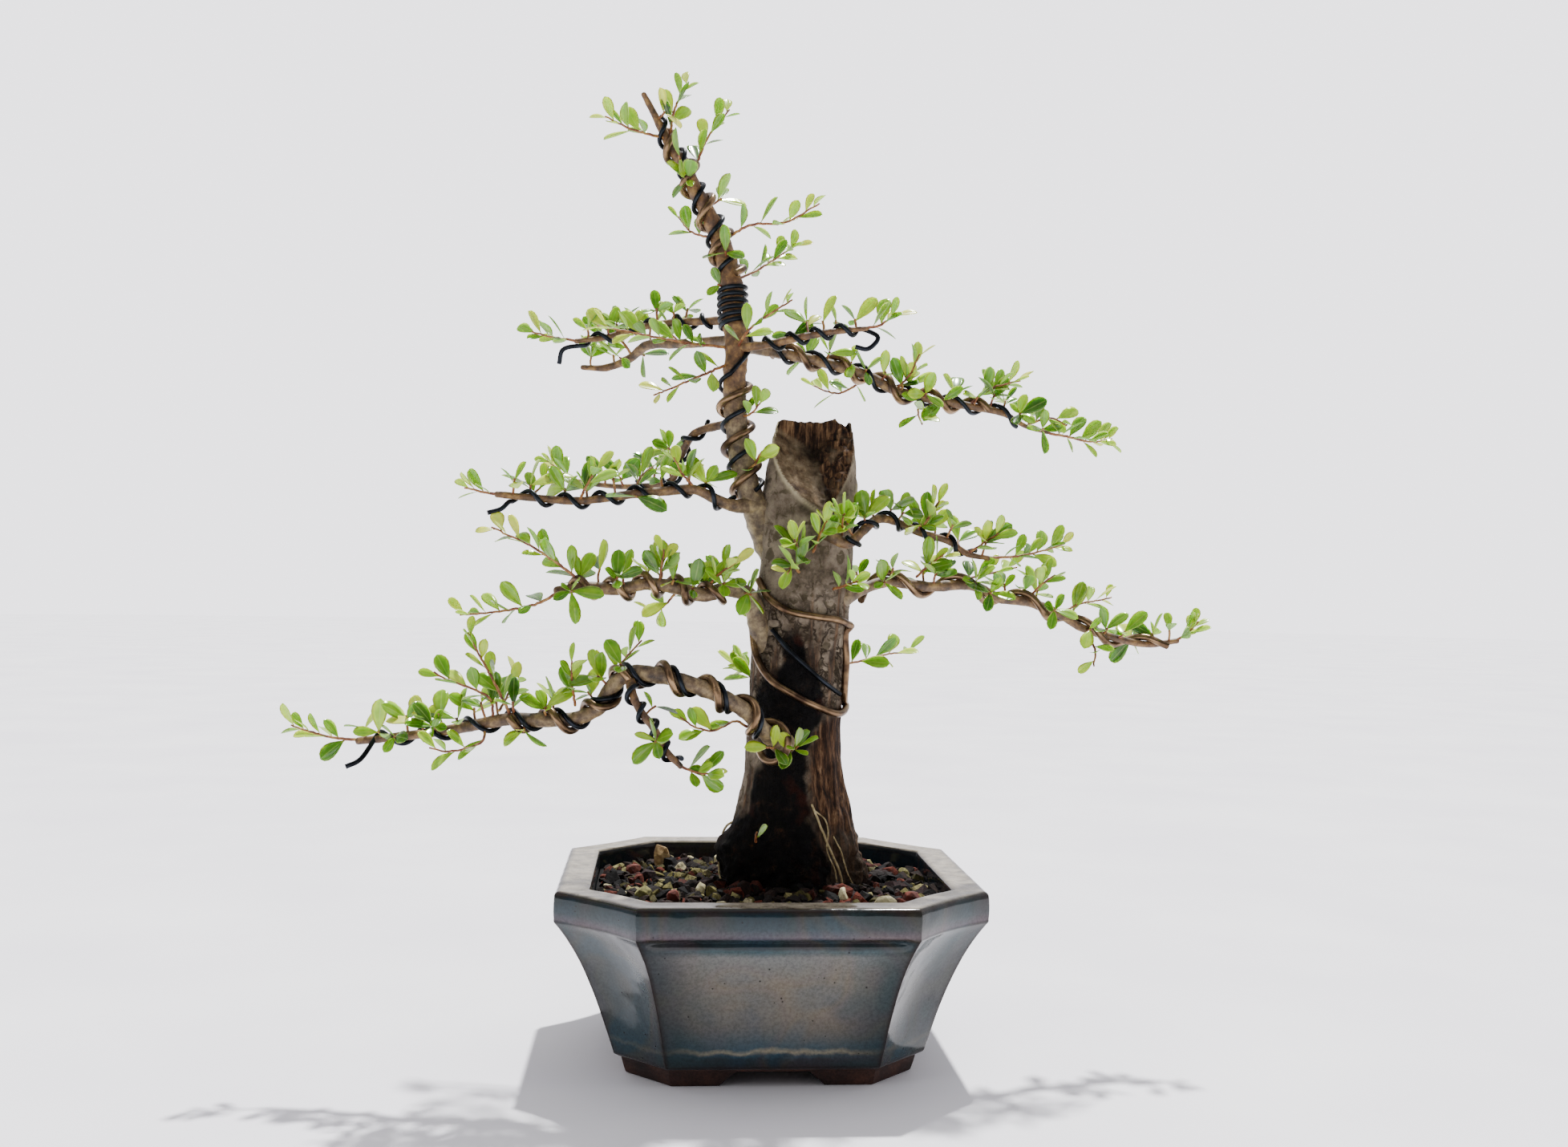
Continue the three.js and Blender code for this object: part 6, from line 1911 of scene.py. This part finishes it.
class BONSAI_OT_pot(bpy.types.Operator):
    """Builds the glazed pot with its coved corners, sunk panels and bare clay foot"""

    bl_idname = "bonsai.pot"
    bl_label = "Build pot"

    def execute(self, context):
        build_pot(context.scene.bonsai_pot)
        return {"FINISHED"}


class BONSAI_OT_soil(bpy.types.Operator):
    """Builds the soil's bed, the loose gravel on it and the bigger stones"""

    bl_idname = "bonsai.soil"
    bl_label = "Build soil"

    def execute(self, context):
        build_soil(context.scene.bonsai_soil)
        return {"FINISHED"}


class BONSAI_OT_net(bpy.types.Operator):
    """Gives the drainage nets their moulded plastic finish"""

    bl_idname = "bonsai.net"
    bl_label = "Finish drainage nets"

    def execute(self, context):
        build_net()
        return {"FINISHED"}


class BONSAI_OT_trunk(bpy.types.Operator):
    """Builds the trunk with its bark, crusted base, fine roots and sawn hollow top"""

    bl_idname = "bonsai.trunk"
    bl_label = "Build trunk"

    def execute(self, context):
        build_trunk(context.scene.bonsai_wood)
        return {"FINISHED"}


class BONSAI_OT_limbs(bpy.types.Operator):
    """Builds the leader and the branches"""

    bl_idname = "bonsai.limbs"
    bl_label = "Build limbs"

    def execute(self, context):
        build_limbs(context.scene.bonsai_wood)
        return {"FINISHED"}


class BONSAI_OT_wires(bpy.types.Operator):
    """Winds the training wires"""

    bl_idname = "bonsai.wires"
    bl_label = "Wind wires"

    def execute(self, context):
        build_wires(context.scene.bonsai_wire)
        return {"FINISHED"}


class BONSAI_OT_foliage(bpy.types.Operator):
    """Grows the shoots, sprigs and spurs with their leaves"""

    bl_idname = "bonsai.foliage"
    bl_label = "Grow leaves"

    def execute(self, context):
        build_foliage(context.scene.bonsai_leaf)
        return {"FINISHED"}


class BONSAI_OT_stage(bpy.types.Operator):
    """Sets the floor, the studio light and the camera"""

    bl_idname = "bonsai.stage"
    bl_label = "Set stage"

    def execute(self, context):
        build_stage(context.scene.bonsai_light)
        return {"FINISHED"}


STEPS = (
    (BONSAI_OT_stage, "bonsai_light"), (BONSAI_OT_pot, "bonsai_pot"), (BONSAI_OT_soil, "bonsai_soil"),
    (BONSAI_OT_net, None), (BONSAI_OT_trunk, "bonsai_wood"), (BONSAI_OT_limbs, "bonsai_wood"),
    (BONSAI_OT_wires, "bonsai_wire"), (BONSAI_OT_foliage, "bonsai_leaf"),
)


class BONSAI_PT_build(bpy.types.Panel):
    """Lists the steps that build the bonsai, each with its settings"""

    bl_idname = "BONSAI_PT_build"
    bl_label = "Bonsai"
    bl_space_type = "VIEW_3D"
    bl_region_type = "UI"
    bl_category = "Bonsai"

    def draw(self, context):
        for step, settings in STEPS:
            box = self.layout.box()
            box.operator(step.bl_idname)
            if settings:
                for key in SETTINGS[settings].__annotations__:
                    box.prop(getattr(context.scene, settings), key)


def register():
    for name, group in SETTINGS.items():
        bpy.utils.register_class(group)
        setattr(bpy.types.Scene, name, bpy.props.PointerProperty(type=group))
    for step, _ in STEPS:
        bpy.utils.register_class(step)
    bpy.utils.register_class(BONSAI_PT_build)


def unregister():
    bpy.utils.unregister_class(BONSAI_PT_build)
    for step, _ in reversed(STEPS):
        bpy.utils.unregister_class(step)
    for name, group in reversed(SETTINGS.items()):
        delattr(bpy.types.Scene, name)
        bpy.utils.unregister_class(group)


def main():
    register()
    bpy.ops.bonsai.stage()
    bpy.ops.bonsai.pot()
    bpy.ops.bonsai.soil()
    bpy.ops.bonsai.net()
    bpy.ops.bonsai.trunk()
    bpy.ops.bonsai.limbs()
    bpy.ops.bonsai.wires()
    bpy.ops.bonsai.foliage()


if __name__ == "__main__":
    main()
